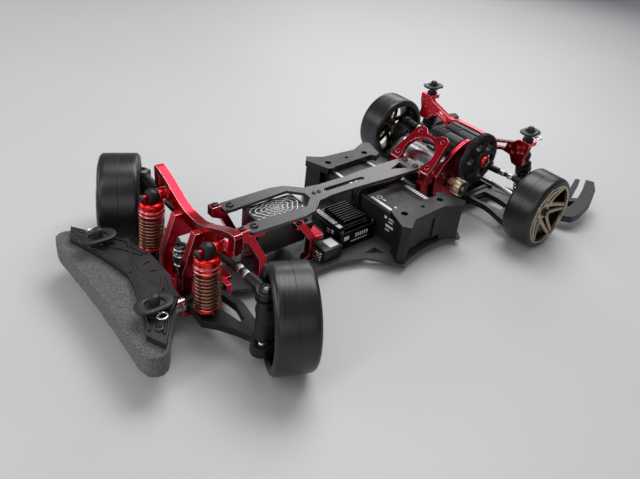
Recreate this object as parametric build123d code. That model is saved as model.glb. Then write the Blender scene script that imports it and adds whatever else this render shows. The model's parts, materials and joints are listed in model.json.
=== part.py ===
from build123d import *
import math
import os

# RC drift car chassis, 1/10 scale, rear motor, rear-wheel drive, no body shell.
# Millimetres. +X = front of the car, +Y = its left side, +Z = up, ground at z = 0.
# The design origin is at mid-wheelbase; OFFSET_X moves it to mid overall length on writing.
OFFSET_X = 21.0
SIDES = (1, -1)                       # left, right

# Axles and wheels
WHEELBASE = 257.0
FRONT_X, REAR_X = WHEELBASE / 2, -WHEELBASE / 2
TYRE_R, TYRE_W = 31.5, 25.0
TYRE_CHAMFER = 1.4
RIM_R = 26.4                          # tyre seat
RIM_WALL = 1.6
AXLE_Z = TYRE_R
REAR_WHEEL_Y = 88.0                   # rear wheel centre plane
KINGPIN_Y = 73.6                      # steering axis to centre plane
KNUCKLE_OFFSET = 13.6                 # steering axis to wheel centre plane
REST_STEER = 64.0                     # degrees, steered to the left

# Lower plate and upper deck
PLATE_Z0, PLATE_TOP = 5.0, 7.25
DECK_Z0, DECK_TOP = 46.0, 48.25
HOLE_R = 1.5
DECK_SCREWS = [(97.5, 14.3), (-61.1, 6.1)]      # x, y of the left side
BUMPER_SCREW = (176.6, 50.4)

# Suspension pivots
HINGE_PIN_R, HINGE_BORE_R = 1.5, 1.6
FRONT_ARM_Y, FRONT_ARM_Z = 20.0, 14.0
FRONT_LINK_Y, FRONT_LINK_Z = 22.0, 43.0         # inner end
REAR_ARM_Y, REAR_ARM_Z = 24.0, 12.0             # inner hinge
REAR_HINGE_Y = 72.0                             # outer hinge, same height
REAR_LINK_X = -132.0                            # behind the axle
REAR_LINK_Y, REAR_LINK_Z = 28.0, 42.0           # inner end
REAR_LINK_OUT_Y, REAR_LINK_OUT_Z = 72.0, 44.0   # outer end

# Shock pivots on the left side
FRONT_SHOCK_TOP, FRONT_SHOCK_FOOT = (140.7, 33.4, 57.9), (141.0, 35.4, 13.6)
REAR_SHOCK_TOP, REAR_SHOCK_FOOT = (-147.5, 54.0, 60.0), (-147.5, 61.0, 16.0)

# Steering
CRANK_X = 118.0                       # crank pivot, on the centre plane
HORN_X, HORN_Y = 79.0, -3.0           # servo spline
TIE_ARM = 13.0                        # knuckle arm and crank output arm
DRAG_ARM = 10.0                       # horn arm and crank input arm
TIE_Z = {1: 36.6, -1: 32.4}           # the rods sit above each other on the crank

# Motor and gears
MOTOR_X, MOTOR_Z = -88.4, 35.2
SPUR_X, SPUR_Z = -107.0, 57.6
GEAR_Y = 34.5                         # middle of spur and pinion
BOX_GEAR_Y = 4.0                      # gearbox gears span -4 to 4
SPUR_MODULE, BOX_MODULE = 0.5292, 0.6
SPUR_TEETH, PINION_TEETH = 84, 26
TOP_TEETH, IDLER_TEETH, DIFF_TEETH = 20, 21, 52
BACKLASH = 0.14
MOTOR_SCREWS = [(MOTOR_X + 12.5 * math.cos(math.radians(angle)),
                 MOTOR_Z + 12.5 * math.sin(math.radians(angle))) for angle in (40, 220)]

# Left body posts: x, y, base z, pad z, top z
BODY_POSTS = [(172.9, 36.4, 32.6, 37.7, 43.6), (-142.0, 55.5, 77.2, 84.5, 89.4)]
CLIP_DROP = 2.6                       # clip hole below the pad
os.makedirs("parts", exist_ok=True)


# ----------------------------- helpers -------------------------------------
def save(name, shape):
    """Write one piece; a list is a group of separate solids."""
    place = Pos(OFFSET_X, 0, 0)
    if isinstance(shape, list):
        placed = Compound(children=[place * member for member in shape])
    else:
        placed = place * shape
    export_step(placed, "parts/" + name + ".step")


def save_pair(name, left):
    save(name + "_left", left)
    save(name + "_right", mir(left))


def mir(shape):
    return mirror(shape, about=Plane.XZ)


def joined(shapes):
    return sum(shapes[1:], shapes[0])


def prism_z(points, z0, z1):
    """Polygon of (x, y), from z0 to z1."""
    face = make_face(Polyline(*[(x, y, 0) for x, y in points], close=True))
    return Pos(0, 0, z0) * extrude(face, amount=z1 - z0, dir=(0, 0, 1))


def prism_y(points, y0, y1):
    """Polygon of (x, z), from y0 to y1."""
    face = make_face(Polyline(*[(x, 0, z) for x, z in points], close=True))
    return Pos(0, y0, 0) * extrude(face, amount=y1 - y0, dir=(0, 1, 0))


def prism_x(points, x0, x1):
    """Polygon of (y, z), from x0 to x1."""
    face = make_face(Polyline(*[(0, y, z) for y, z in points], close=True))
    return Pos(x0, 0, 0) * extrude(face, amount=x1 - x0, dir=(1, 0, 0))


def box(x0, x1, y0, y1, z0, z1):
    centre = Pos((x0 + x1) / 2, (y0 + y1) / 2, (z0 + z1) / 2)
    return centre * Box(abs(x1 - x0), abs(y1 - y0), abs(z1 - z0))


def cyl_z(x, y, radius, z0, z1):
    return Pos(x, y, (z0 + z1) / 2) * Cylinder(radius, z1 - z0)


def cyl_x(y, z, radius, x0, x1):
    return Pos((x0 + x1) / 2, y, z) * Rot(0, 90, 0) * Cylinder(radius, x1 - x0)


def cyl_y(x, z, radius, y0, y1):
    return Pos(x, (y0 + y1) / 2, z) * Rot(90, 0, 0) * Cylinder(radius, y1 - y0)


def along(start, end):
    """Plane at start whose normal points to end."""
    start, end = Vector(*start), Vector(*end)
    return Plane(origin=start, z_dir=(end - start).normalized())


def cyl_on(plane, radius, start, end):
    return plane * (Pos(0, 0, (start + end) / 2) * Cylinder(radius, end - start))


def rod(start, end, radius):
    return cyl_on(along(start, end), radius, 0, math.dist(start, end))


def ball(point, radius):
    return Pos(*point) * Sphere(radius)


def sym_xy(half):
    """Close a half outline of (x, y) with its mirror image."""
    return half + [(x, -y) for x, y in reversed(half) if y > 0]


def sym_yz(half):
    """The same for an outline whose first column is y."""
    return half + [(-y, z) for y, z in reversed(half) if y > 0]


def strip(start, end, half_width):
    """Four corners of a straight bar."""
    (x0, y0), (x1, y1) = start, end
    length = math.hypot(x1 - x0, y1 - y0)
    nx = -(y1 - y0) / length * half_width
    ny = (x1 - x0) / length * half_width
    return [(x0 + nx, y0 + ny), (x1 + nx, y1 + ny), (x1 - nx, y1 - ny), (x0 - nx, y0 - ny)]


def gear(module, teeth, x, z, y0, y1, phase):
    """Involute spur gear, 20 degree pressure angle; phase = degrees of tooth 0."""
    pitch_r, pressure = module * teeth / 2, math.radians(20)
    base_r = pitch_r * math.cos(pressure)
    tip_r, root_r = pitch_r + 0.95 * module, pitch_r - 1.25 * module
    base_half = math.pi / (2 * teeth) - BACKLASH / (2 * pitch_r) + math.tan(pressure) - pressure
    start_r = max(base_r, root_r)
    flank = []                        # radius, half angle
    for i in range(4):
        r = start_r + (tip_r - start_r) * i / 3
        roll = math.acos(base_r / r)
        flank.append((r, base_half - (math.tan(roll) - roll)))
    if root_r < start_r:
        flank.insert(0, (root_r, flank[0][1]))
    tooth = [(r, -a) for r, a in flank] + flank[::-1]
    points = []
    for k in range(teeth):
        turn = math.radians(phase) + 2 * math.pi * k / teeth
        points += [(x + r * math.cos(turn + a), z + r * math.sin(turn + a)) for r, a in tooth]
    return prism_y(points, y0, y1)


# -------------------------- plate and deck ----------------------------------
def chassis_plate():
    half = [
        (156, 13), (150, 17), (112, 19), (99, 26), (59, 31.2), (38.7, 32), (28.7, 35),
        (16.3, 39.5), (7, 50), (1, 60), (-2, 61.5), (-13, 57.5), (-35, 54.5), (-53, 54.8),
        (-62, 59.5), (-68, 60.5), (-75, 50), (-88, 33), (-112, 30), (-150, 30), (-164, 24),
        (-168, 16)]
    window = [(13.5, 34.5), (1.5, 33.0), (-0.5, 43.5)]
    holes = [(93, 17), (51.5, 17), (-5, 54.5), (-63.5, 55.5), (-68, 17), (-92, 24),
             (126, 12), (142, 12), (-140, 24)]
    cuts = prism_z(window, 0, 10) + prism_z([(x, -y) for x, y in window], 0, 10)
    for side in SIDES:
        for x, y in holes:
            cuts += cyl_z(x, side * y, HOLE_R, 0, 10)
    return prism_z(sym_xy(half), PLATE_Z0, PLATE_TOP) - cuts


def upper_deck():
    half = [
        (54, 11.8), (98, 9.4), (103.5, 10.5), (103.5, 18), (101.5, 20), (62, 21), (52, 19),
        (41, 10), (28, 8.2), (5, 8.4), (-22, 9.8), (-52, 10.6), (-61, 10.2), (-66.5, 7.5),
        (-67.5, 4)]
    notch = [(45, -3.5), (45, 3.5)]   # bottom of the front opening
    slot = [(28, 1.9), (-8, 1.9), (-9.5, 0), (-8, -1.9), (28, -1.9), (30, 0)]
    deck = prism_z(sym_xy(half) + notch, DECK_Z0, DECK_TOP)
    deck -= prism_z(slot, 40, 55)
    deck -= prism_z([(-38.5, 0), (-53.5, 5.2), (-53.5, -5.2)], 40, 55)
    for x in (39, 34.5):
        deck -= cyl_z(x, 0, 0.9, 40, 55)
    for x, y in DECK_SCREWS:
        for side in SIDES:
            deck -= cyl_z(x, side * y, HOLE_R, 40, 55)
    return deck


# ----------------------------- front end ------------------------------------
def front_bulkhead():
    leg = prism_y([(139.5, PLATE_TOP), (146, PLATE_TOP), (145.6, 31), (137.6, 56),
                   (132.6, 56), (132.6, 51), (139.5, 30)], 9.5, 14.5)
    base = box(118.5, 151, 0, 24.6, PLATE_TOP, 9.3)
    base += box(118.5, 122.2, 15.6, 24.6, 9.0, 18.5) + box(147.8, 150.2, 12.0, 23.8, 9.0, 17.4)
    base += cyl_x(FRONT_ARM_Y, FRONT_ARM_Z, HINGE_PIN_R, 118.5, 150.2)
    # upper link bracket and pin
    lug = box(124.2, 132.4, 9.5, 14.5, 40, 52) + box(128.9, 131.4, 14.0, 25.5, 40.0, 46.0)
    lug += box(128.9, 139, 9.5, 14.5, 40, 46)
    lug += cyl_x(FRONT_LINK_Y, FRONT_LINK_Z, HINGE_PIN_R, 120.5, 130)
    body = leg + base + lug
    body = body + mir(body)
    # steering crank post
    body += box(108, 119, -8, 8, PLATE_TOP, 9.3) + cyl_z(CRANK_X, 0, 2.0, PLATE_TOP, 28.4)
    return body + cyl_z(CRANK_X, 0, 4.4, 9.0, 10.2)


def front_shock_tower():
    half = [                          # y, z
        (0, 58.2), (8, 58.6), (16, 61.0), (24, 64.6), (33, 68.6), (41, 71.2), (46, 71.8),
        (47.2, 70.0), (46.4, 58.5), (42, 55.0), (36, 53.6), (29, 53.6), (24.5, 56.0),
        (19, 51.6), (12, 50.6), (0, 50.2)]
    _, pin_y, pin_z = FRONT_SHOCK_TOP
    tower = prism_x(sym_yz(half), 126.8, 132.4)
    window = prism_x([(40.5, 67.0), (28, 62.2), (28, 57.2), (40.5, 58.0)], 120, 140)
    tower -= window + mir(window)
    for side in SIDES:
        tower += cyl_x(side * pin_y, pin_z, 3.6, 132.4, 136.9)
        tower += cyl_x(side * pin_y, pin_z, 1.9, 136.9, 146.6)
    # notches over the bulkhead brackets
    tower -= box(120, 132.5, 9.3, 14.7, 50.0, 52.2) + box(120, 132.5, -14.7, -9.3, 50.0, 52.2)
    return tower


def bumper_bracket():
    half = [
        (171, 0), (172.6, 11), (176.0, 25), (181.6, 44), (184.0, 50.5), (179.2, 62.0),
        (175.0, 56.0), (166, 42), (157.2, 32), (155.0, 20), (152.4, 14), (152.4, 0)]
    slot = [(160.4, 4.4), (156.2, 5.4), (156.2, 4.4), (160.4, 3.4)]
    bracket = prism_z(sym_xy(half), 28.6, 32.4)
    bracket -= prism_z(slot, 20, 40) + prism_z([(x, -y) for x, y in slot], 20, 40)
    for side in SIDES:
        bracket -= cyl_z(BUMPER_SCREW[0], side * BUMPER_SCREW[1], 2.1, 20, 40)
        # leg down to the lower plate
        bracket += box(152.4, 155.6, side * 4, side * 13, PLATE_TOP, 29)
    rib, rib_z = [(157.6, 33), (160.4, 21), (164.6, 10), (166.2, 0)], 32.2
    for side in SIDES:
        for (x0, y0), (x1, y1) in zip(rib, rib[1:]):
            bracket += rod((x0, side * y0, rib_z), (x1, side * y1, rib_z), 1.2)
    return bracket + box(151.3, 155.6, -13, 13, PLATE_TOP, 9.5)


def bumper_foam():
    half = [
        (188.6, 0), (189.2, 30), (190.0, 52), (189.0, 60.5), (185.0, 64.5), (180.5, 64.6),
        (177.0, 61.5), (170.5, 49), (162.5, 38.5), (157.6, 31), (156.4, 16), (156.4, 0)]
    return prism_z(sym_xy(half), 14.5, 28.3)


def body_posts():
    """All four posts, each with an oval pad and a clip hole."""
    posts = []
    for x, y_left, z_base, z_pad, z_top in BODY_POSTS:
        for side in SIDES:
            y = side * y_left
            z0, z1 = z_pad - 1.0, z_pad + 1.0
            post = cyl_z(x, y, 3.0, z_base, z_top - 1) + cyl_z(x, y, 2.4, z_top - 1, z_top)
            pad = box(x - 4, x + 4, y - 6, y + 6, z0, z1)
            pad = pad + cyl_z(x - 4, y, 6, z0, z1) + cyl_z(x + 4, y, 6, z0, z1)
            post = post + pad + cyl_z(x, y, 4.6, z_base, z_base + 1.6)
            posts.append(post - cyl_y(x, z_pad - CLIP_DROP, 0.75, y - 8, y + 8))
    return joined(posts)


# ------------------- shocks; distances run down from the top pivot ------------
CAP_START = 4.6


def shock_body(top, foot, cap_r, body_r, collar, end):
    """Eye on the top pivot, neck, cap and hollow cylinder."""
    x, y, z = top
    axis = along(top, foot)
    body = cyl_x(y, z, 4.6, x - 3.0, x + 3.0)
    body += cyl_on(axis, 3.2, 1, CAP_START + 1)
    body += cyl_on(axis, cap_r, CAP_START, collar)
    body += cyl_on(axis, body_r, collar, end)
    body -= cyl_on(axis, body_r - 1.4, collar + 1.5, end + 2.5)
    return body - cyl_x(y, z, 2.1, x - 8, x + 8)


def shock_rod(top, foot, cup_r, piston, cup):
    """Shaft, piston, lower spring cup and ball end."""
    axis = along(top, foot)
    shaft = cyl_on(axis, 1.5, piston, math.dist(top, foot))
    shaft += cyl_on(axis, 3.2, piston, piston + 2)
    shaft += cyl_on(axis, cup_r, cup, cup + 3.2)
    return shaft + ball(foot, 3.2)


def spring(top, foot, radius, wire_r, start, end, turns=7.5):
    height = end - start
    path = Helix(pitch=height / turns, height=height, radius=radius)
    profile = Plane(origin=path @ 0, z_dir=path % 0) * Circle(wire_r)
    return along(top, foot) * (Pos(0, 0, start) * sweep(profile, path=path))


def save_shocks():
    front, rear = (FRONT_SHOCK_TOP, FRONT_SHOCK_FOOT), (REAR_SHOCK_TOP, REAR_SHOCK_FOOT)
    save_pair("front_shock_body", shock_body(*front, cap_r=7.3, body_r=5.0, collar=15.5, end=31.0))
    save_pair("rear_shock_body", shock_body(*rear, cap_r=6.6, body_r=4.8, collar=12.0, end=29.0))
    save_pair("front_shock_rod", shock_rod(*front, cup_r=7.6, piston=22.0, cup=36.6))
    save_pair("rear_shock_rod", shock_rod(*rear, cup_r=7.2, piston=21.0, cup=35.4))
    front_coil = spring(*front, radius=7.0, wire_r=0.75, start=16.5, end=35.6)
    rear_coil = spring(*rear, radius=6.7, wire_r=0.7, start=13.0, end=34.4)
    save("springs", [front_coil, mir(front_coil), rear_coil, mir(rear_coil)])


# ------------------- front suspension, left side ------------------------------
def front_lower_arm():
    outline = [(146.8, FRONT_ARM_Y), (123.2, FRONT_ARM_Y), (119.8, 40), (121.8, 55),
               (125.6, 66.8), (131.4, 66.8), (135.2, 58), (141.4, 47.6), (147.4, 40.5)]
    window = [(134.6, 27), (126.4, 27), (124.6, 40), (127.2, 53), (130.4, 53), (132.6, 42)]
    x, y, z = FRONT_SHOCK_FOOT
    arm = cyl_x(FRONT_ARM_Y, FRONT_ARM_Z, 3.9, 122.8, 147.2)
    arm += prism_z(outline, 10.2, 15.4)
    arm -= prism_z(window, 0, 30)
    arm -= cyl_z(x, y, 5.0, 0, 30)
    arm += cyl_z(FRONT_X, KINGPIN_Y, 7.2, 8.8, 15.6)
    arm -= cyl_z(FRONT_X, KINGPIN_Y, 4.1, 0, 30)
    arm -= cyl_x(FRONT_ARM_Y, FRONT_ARM_Z, HINGE_BORE_R, 110, 160)
    # cross pin with room for the shock ball
    arm += cyl_x(y, z, 0.9, x - 5.2, x + 5.2) - ball(FRONT_SHOCK_FOOT, 3.35)
    return arm


def front_kingpin():
    ball_z = 12.2
    pin = cyl_z(FRONT_X, KINGPIN_Y, 2.0, ball_z, 53.6) + ball((FRONT_X, KINGPIN_Y, ball_z), 3.6)
    pin = pin + cyl_z(FRONT_X, KINGPIN_Y, 3.1, 46.4, 48.0)
    return pin + cyl_z(FRONT_X, KINGPIN_Y, 3.3, 16.9, 18.2)


def front_upper_link():
    y, z = FRONT_LINK_Y, FRONT_LINK_Z
    link = cyl_x(y, z, 4.0, 122.0, 127.8) + cyl_z(FRONT_X, KINGPIN_Y, 5.6, 48.6, 52.6)
    link += rod((FRONT_X - 3.5, y + 2, z + 0.3), (FRONT_X - 0.1, KINGPIN_Y - 4, 50.1), 2.1)
    # thicker ends
    link += (rod((124.95, y + 3, z + 0.5), (126.2, 41, 45.9), 3.2)
             + rod((127.2, 55, 47.9), (128.3, KINGPIN_Y - 4.6, 50.0), 3.2))
    link -= cyl_x(y, z, HINGE_BORE_R, 110, 140) + cyl_z(FRONT_X, KINGPIN_Y, 3.1, 40, 60)
    return link


def knuckle(tie_z):
    """Left knuckle straight ahead, with its axle and tie rod pin; kingpin at the origin."""
    body = cyl_z(0, 0, 5.0, 18.8, 45.6) + box(-5.4, 5.4, 0.5, 6.4, 22, 41)
    body = body + cyl_y(0, AXLE_Z, 6.0, 0, 7.2)
    body += cyl_y(0, AXLE_Z, 2.4, 0, KNUCKLE_OFFSET + 8.6)
    arm_z = tie_z - 9.6
    outline = [(-3, -3.4), (-TIE_ARM, -3.4), (-TIE_ARM - 3.0, 0), (-TIE_ARM, 3.4), (-3, 3.8)]
    body += prism_z(outline, arm_z, arm_z + 3.2)
    body += cyl_z(-TIE_ARM, 0, 1.5, arm_z + 1, tie_z + 6.2)
    return body - cyl_z(0, 0, 2.1, 0, 60)


# ------------------------------ wheels ----------------------------------------
def rim(bore_r):
    """Axle along Y, outer face towards +Y, centre plane at y = 0."""
    barrel = cyl_y(0, 0, RIM_R, -11.5, 12.2) - cyl_y(0, 0, RIM_R - RIM_WALL, -13, 14)
    hub = cyl_y(0, 0, 7.6, 1.4, 9.4)
    spokes = []
    for k in range(6):
        angle = 60 * k + 30
        for lean in (-13, 13):        # two bars spread from one root
            inner, outer = math.radians(angle), math.radians(angle + lean)
            start = (6.0 * math.cos(inner), 6.0 * math.sin(inner))
            end = (25.4 * math.cos(outer), 25.4 * math.sin(outer))
            spokes.append(prism_y(strip(start, end, 1.25), 5.2, 10.4))
    wheel = barrel + (hub + joined(spokes))
    return wheel - cyl_y(0, 0, bore_r, -20, 20)


def tyre():
    body = cyl_y(0, 0, TYRE_R, -TYRE_W / 2, TYRE_W / 2)
    body = chamfer(body.edges().filter_by(GeomType.CIRCLE), TYRE_CHAMFER)
    return body - cyl_y(0, 0, RIM_R + 0.05, -20, 20)


def rear_rim():
    """Rim with its stub axle: cup around the shaft end, shaft through the rim."""
    cup, cup_end = 67.4 - REAR_WHEEL_Y, 77.4 - REAR_WHEEL_Y
    stub = cyl_y(0, 0, 6.0, cup, cup_end) - cyl_y(0, 0, 4.9, cup - 7.4, cup_end - 1.8)
    stub += cyl_y(0, 0, 2.45, cup_end - 0.4, 13.2) + cyl_y(0, 0, 6.6, cup_end, 1.2)
    return rim(2.4) + stub


def save_wheels_and_knuckles():
    plain_tyre = tyre()
    hub_place = Pos(0, KNUCKLE_OFFSET, AXLE_Z)
    front_rim, front_tyre = hub_place * rim(2.5), hub_place * plain_tyre
    for side, label in zip(SIDES, ("left", "right")):
        pieces = {"knuckle": knuckle(TIE_Z[side]), "rim": front_rim, "tyre": front_tyre}
        # from straight ahead to the rest pose
        pose = Pos(FRONT_X, side * KINGPIN_Y, 0)
        for name, piece in pieces.items():
            piece = piece if side > 0 else mir(piece)
            save(f"front_{name}_{label}", pose * (Rot(0, 0, REST_STEER) * piece))
    rear_place = Pos(REAR_X, REAR_WHEEL_Y, AXLE_Z)
    save_pair("rear_rim", rear_place * rear_rim())
    save_pair("rear_tyre", rear_place * plain_tyre)


# ------------------------------ steering ---------------------------------------
STEER_COS, STEER_SIN = math.cos(math.radians(REST_STEER)), math.sin(math.radians(REST_STEER))
# Arms in the rest pose; straight ahead they point rearwards and to the right
TIE_DX, TIE_DY = -TIE_ARM * STEER_COS, -TIE_ARM * STEER_SIN
DRAG_DX, DRAG_DY = DRAG_ARM * STEER_SIN, -DRAG_ARM * STEER_COS
CRANK = (CRANK_X, 0.0)
CRANK_OUT = (CRANK_X + TIE_DX, TIE_DY)
CRANK_IN = (CRANK_X + DRAG_DX, DRAG_DY)
HORN = (HORN_X, HORN_Y)
HORN_TIP = (HORN_X + DRAG_DX, HORN_Y + DRAG_DY)


def steering_crank():
    out_z, in_z = (24.6, 27.4), (15.4, 17.8)
    crank = cyl_z(*CRANK, 4.2, 15.4, 28.2) + prism_z(strip(CRANK, CRANK_OUT, 3.0), *out_z)
    crank = crank + cyl_z(*CRANK_OUT, 3.5, *out_z) + cyl_z(*CRANK_OUT, 1.5, 26, 40.0)
    crank += (prism_z(strip(CRANK, CRANK_IN, 2.4), *in_z) + cyl_z(*CRANK_IN, 2.8, *in_z)
              + cyl_z(*CRANK_IN, 1.4, 10.9, 16))
    return crank - cyl_z(*CRANK, 2.1, 0, 60)


def servo_horn():
    horn = cyl_z(*HORN, 4.2, 8.0, 10.6) + prism_z(strip(HORN, HORN_TIP, 2.4), 8.0, 10.2)
    horn = horn + cyl_z(*HORN_TIP, 2.8, 8.0, 10.2) + cyl_z(*HORN_TIP, 1.4, 9, 15.2)
    return horn - cyl_z(*HORN, 2.1, 8.9, 20)


def drag_link():
    """Rod from the servo horn to the crank."""
    (x0, y0), (x1, y1) = HORN_TIP, CRANK_IN
    link = cyl_z(x0, y0, 3.1, 11.0, 14.6) + cyl_z(x1, y1, 3.1, 11.0, 14.6)
    link += rod((x0 + 2, y0 + 0.2, 12.8), (x1 - 2, y1 - 0.2, 12.8), 1.3)
    return link - (cyl_z(x0, y0, 1.5, 0, 60) + cyl_z(x1, y1, 1.5, 0, 60))


def tie_rod(side):
    """Rod from the crank to the knuckle of one side."""
    z = TIE_Z[side]
    x0, y0 = CRANK_OUT
    x1, y1 = FRONT_X + TIE_DX, side * KINGPIN_Y + TIE_DY
    length = math.hypot(x1 - x0, y1 - y0)
    ux, uy = (x1 - x0) / length, (y1 - y0) / length

    def bar(start, end, radius):
        return rod((x0 + start * ux, y0 + start * uy, z), (x0 + end * ux, y0 + end * uy, z), radius)

    tie = cyl_z(x0, y0, 3.7, z - 1.7, z + 1.7) + cyl_z(x1, y1, 3.7, z - 1.7, z + 1.7)
    tie += bar(2.6, length - 2.6, 1.4)
    tie += bar(4, 20, 1.7)
    tie += bar(length - 20, length - 4, 1.7)
    return tie - (cyl_z(x0, y0, 1.6, 0, 60) + cyl_z(x1, y1, 2.1, 0, 60))


def tie_rods():
    return [tie_rod(side) for side in SIDES]


def servo():
    body = box(49, 89, HORN_Y - 10.1, HORN_Y + 10.1, 16.0, 43.8)
    body = fillet(body.edges().filter_by(Axis.Z), 0.8)
    body += box(42.4, 95.6, HORN_Y - 9.6, HORN_Y + 9.6, 26.0, 28.6)
    body += cyl_z(*HORN, 5.6, 14.8, 16.2) + cyl_z(*HORN, 2.0, 9.0, 16)
    for x in (44.8, 93.2):
        for side in SIDES:
            body -= cyl_z(x, HORN_Y + side * 5, 1.6, 20, 40)
    return body


def servo_mounts():
    front = [
        (90, PLATE_TOP), (97.5, PLATE_TOP), (97.5, 9.8), (94.8, 11), (94.8, 22.5),
        (104.2, 40.6), (110.8, 43.5), (110.8, 50.4), (104.0, 50.4), (104.0, 45.8),
        (92.5, 45.8), (92.5, 43.0), (99.5, 43.0), (90, 24)]
    rear = [
        (49.5, PLATE_TOP), (57, PLATE_TOP), (57, 9.8), (53.6, 11), (53.6, 23.0), (63, 36),
        (66.5, 37.2), (66.5, 40.4), (59.5, 40.4), (49.5, 25.5)]
    tab_z = (22.4, 25.9)
    mounts = []
    # y span of the post, y span of the servo tab
    for post_y, tab_y in (((13.2, 19.2), (0.6, 19.2)), ((-19.2, -13.2), (-19.2, -6.6))):
        front_mount = prism_y(front, *post_y)
        front_mount += box(89.4, 95.4, *tab_y, *tab_z) - box(95.0, 99.0, -12, 12, 20, 30)
        rear_mount = prism_y(rear, *post_y)
        rear_mount += box(42.6, 48.6, *tab_y, *tab_z) + box(42.6, 52.4, *post_y, *tab_z)
        mounts += [front_mount, rear_mount]
    mounts[2] -= box(88, 99, -14.4, -13.0, 7, 20)      # room for the drag link
    return mounts


# ------------------------- electronics -----------------------------------------
def esc():
    """Speed controller with nine cooling fins."""
    body = box(-6.5, 28.5, -12.0, 23.0, 7.6, 22.0)
    body = fillet(body.edges().filter_by(Axis.Z), 1.2)
    body += box(-1.5, 23.5, -7.0, 18.0, 21.5, 24.0)
    for k in range(9):
        y = -5.4 + k * 2.7
        body += box(0.5, 21.5, y - 0.6, y + 0.6, 23.5, 27.4)
    return body + box(23.5, 28.0, -10.0, 20.0, 21.5, 24.6)


def battery_pack():
    pack = box(-56.0, -10.0, -46.5, 46.5, 8.6, 33.4)
    return fillet(pack.edges().filter_by(Axis.Y), 2.0)


def battery_holders():
    top = [
        (2.6, 56.0), (-2.0, 61.5), (-13.5, 54.6), (-47, 53.2), (-63.5, 60.5), (-69, 57.0),
        (-63.0, 37.6), (-57.4, 35.0), (-53.5, 38.6), (-12.8, 36.4), (-9.0, 34.8), (-5.0, 36.2)]
    wall = [
        (1.6, 55.6), (-2.2, 60.2), (-13.5, 53.4), (-47, 52.2), (-63.5, 59.0), (-67.5, 56.2),
        (-64.0, 48.0), (-56.6, 47.4), (-9.4, 47.4), (-4, 44.0)]
    lower_cut = [(-14, 49.6), (-17, 60), (-44, 60), (-50, 49.6)]
    upper_cut = [(-22, 51.2), (-22, 60), (-40, 60), (-40, 51.2)]
    holder = prism_z(top, 34.2, 39.4)
    holder += prism_z(wall, PLATE_TOP, 35)
    holder -= prism_z(lower_cut, 0, 12) + prism_z(upper_cut, 12, 31)
    for x, radius in [(-11.4, 2.6), (-31.4, 1.6), (-51.4, 2.6)]:
        holder -= cyl_z(x, 44.6, radius, 30, 50)
    return [holder, mir(holder)]


# ------------------------------ motor ------------------------------------------
def motor():
    def ring(radius, y0, y1):
        return cyl_y(MOTOR_X, MOTOR_Z, radius, y0, y1)

    can = ring(18.0, -31.0, 16.8) + ring(6.2, 16.8, 18.4)
    can = can - ring(16.4, -29.5, -20) - ring(1.75, -40, 40)
    return can + (ring(17.0, -34.0, -31.0) - ring(1.75, -40, 40))


def motor_plate():
    outline = [                       # x, z
        (-71.5, 28), (-71.0, 42), (-77.5, 51.5), (-89, 61.0), (-101, 68.0), (-108, 69.0),
        (-114, 66.5), (-118.0, 60), (-117.0, 50), (-109, 40), (-106.0, 22), (-101, 12.5),
        (-98, PLATE_TOP), (-80, PLATE_TOP), (-78, 13)]
    plate = prism_y(outline, 18.6, 21.8)
    plate -= cyl_y(MOTOR_X, MOTOR_Z, 6.4, 10, 30) + cyl_y(SPUR_X, SPUR_Z, 4.2, 10, 30)
    for x, z in MOTOR_SCREWS:
        plate -= cyl_y(x, z, 1.6, 10, 30)
    return plate + box(-98, -80, 18.6, 27, PLATE_TOP, 10)


def motor_brace():
    """Inclined arch over the motor on two feet between battery and motor."""
    tilt = math.radians(40.8)
    incline = Plane(origin=(-61.0, 0, 49.7), x_dir=(0, 1, 0),
                    z_dir=(math.sin(tilt), 0, math.cos(tilt)))
    half = [(21.5, -2.5), (21.5, 6.0), (18.6, 22.0), (17.4, 31.0), (13.0, 33.6), (8.4, 32.8),
            (5.0, 29.2)]              # y, distance up the incline
    corners = [incline.from_local_coords(Vector(x, y, 0)) for x, y in sym_yz(half)]
    arch = extrude(make_face(Polyline(*corners, close=True)), amount=-4.0, dir=incline.z_dir)
    arch -= incline * (Pos(0, 11.0, 0) * Cylinder(14.4, 20))
    arch -= incline * (Pos(0, 3.0, 0) * Box(22, 14, 20))
    for x, y, radius in [(12.6, 28.0, 1.5), (-12.6, 28.0, 1.5), (16.9, 2.6, 1.8), (-16.9, 2.6, 1.8)]:
        arch -= incline * (Pos(x, y, 0) * Cylinder(radius, 20))
    brace = arch + box(-67.5, -58.5, -14.0, 14.0, 42.4, 45.8)
    for side in SIDES:
        brace += (box(-68.0, -59.0, side * 12.5, side * 21.0, PLATE_TOP, 47.6)
                  - box(-70, -57, side * 18.0, side * 22, 12, 38))
    brace -= box(-80, -58, -12.0, 12.0, 45.8, 51.5)
    return brace - cyl_y(MOTOR_X, MOTOR_Z, 18.4, -40, 18.5)


# ------------------------- gear train and case ----------------------------------
def direction(x0, z0, x1, z1):
    return math.degrees(math.atan2(z1 - z0, x1 - x0))


TOP_R, IDLER_R, DIFF_R = (BOX_MODULE * n / 2 for n in (TOP_TEETH, IDLER_TEETH, DIFF_TEETH))
# Idler centre from its two centre distances, on the rear side of the spur-diff line
TOP_GAP, DIFF_GAP = TOP_R + IDLER_R + 0.04, IDLER_R + DIFF_R + 0.04
SPAN = math.hypot(REAR_X - SPUR_X, AXLE_Z - SPUR_Z)
LINE_X, LINE_Z = (REAR_X - SPUR_X) / SPAN, (AXLE_Z - SPUR_Z) / SPAN
FOOT = (TOP_GAP ** 2 - DIFF_GAP ** 2 + SPAN ** 2) / (2 * SPAN)
RISE = math.sqrt(TOP_GAP ** 2 - FOOT ** 2)
IDLER_X = SPUR_X + LINE_X * FOOT + LINE_Z * RISE
IDLER_Z = SPUR_Z + LINE_Z * FOOT - LINE_X * RISE

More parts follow.
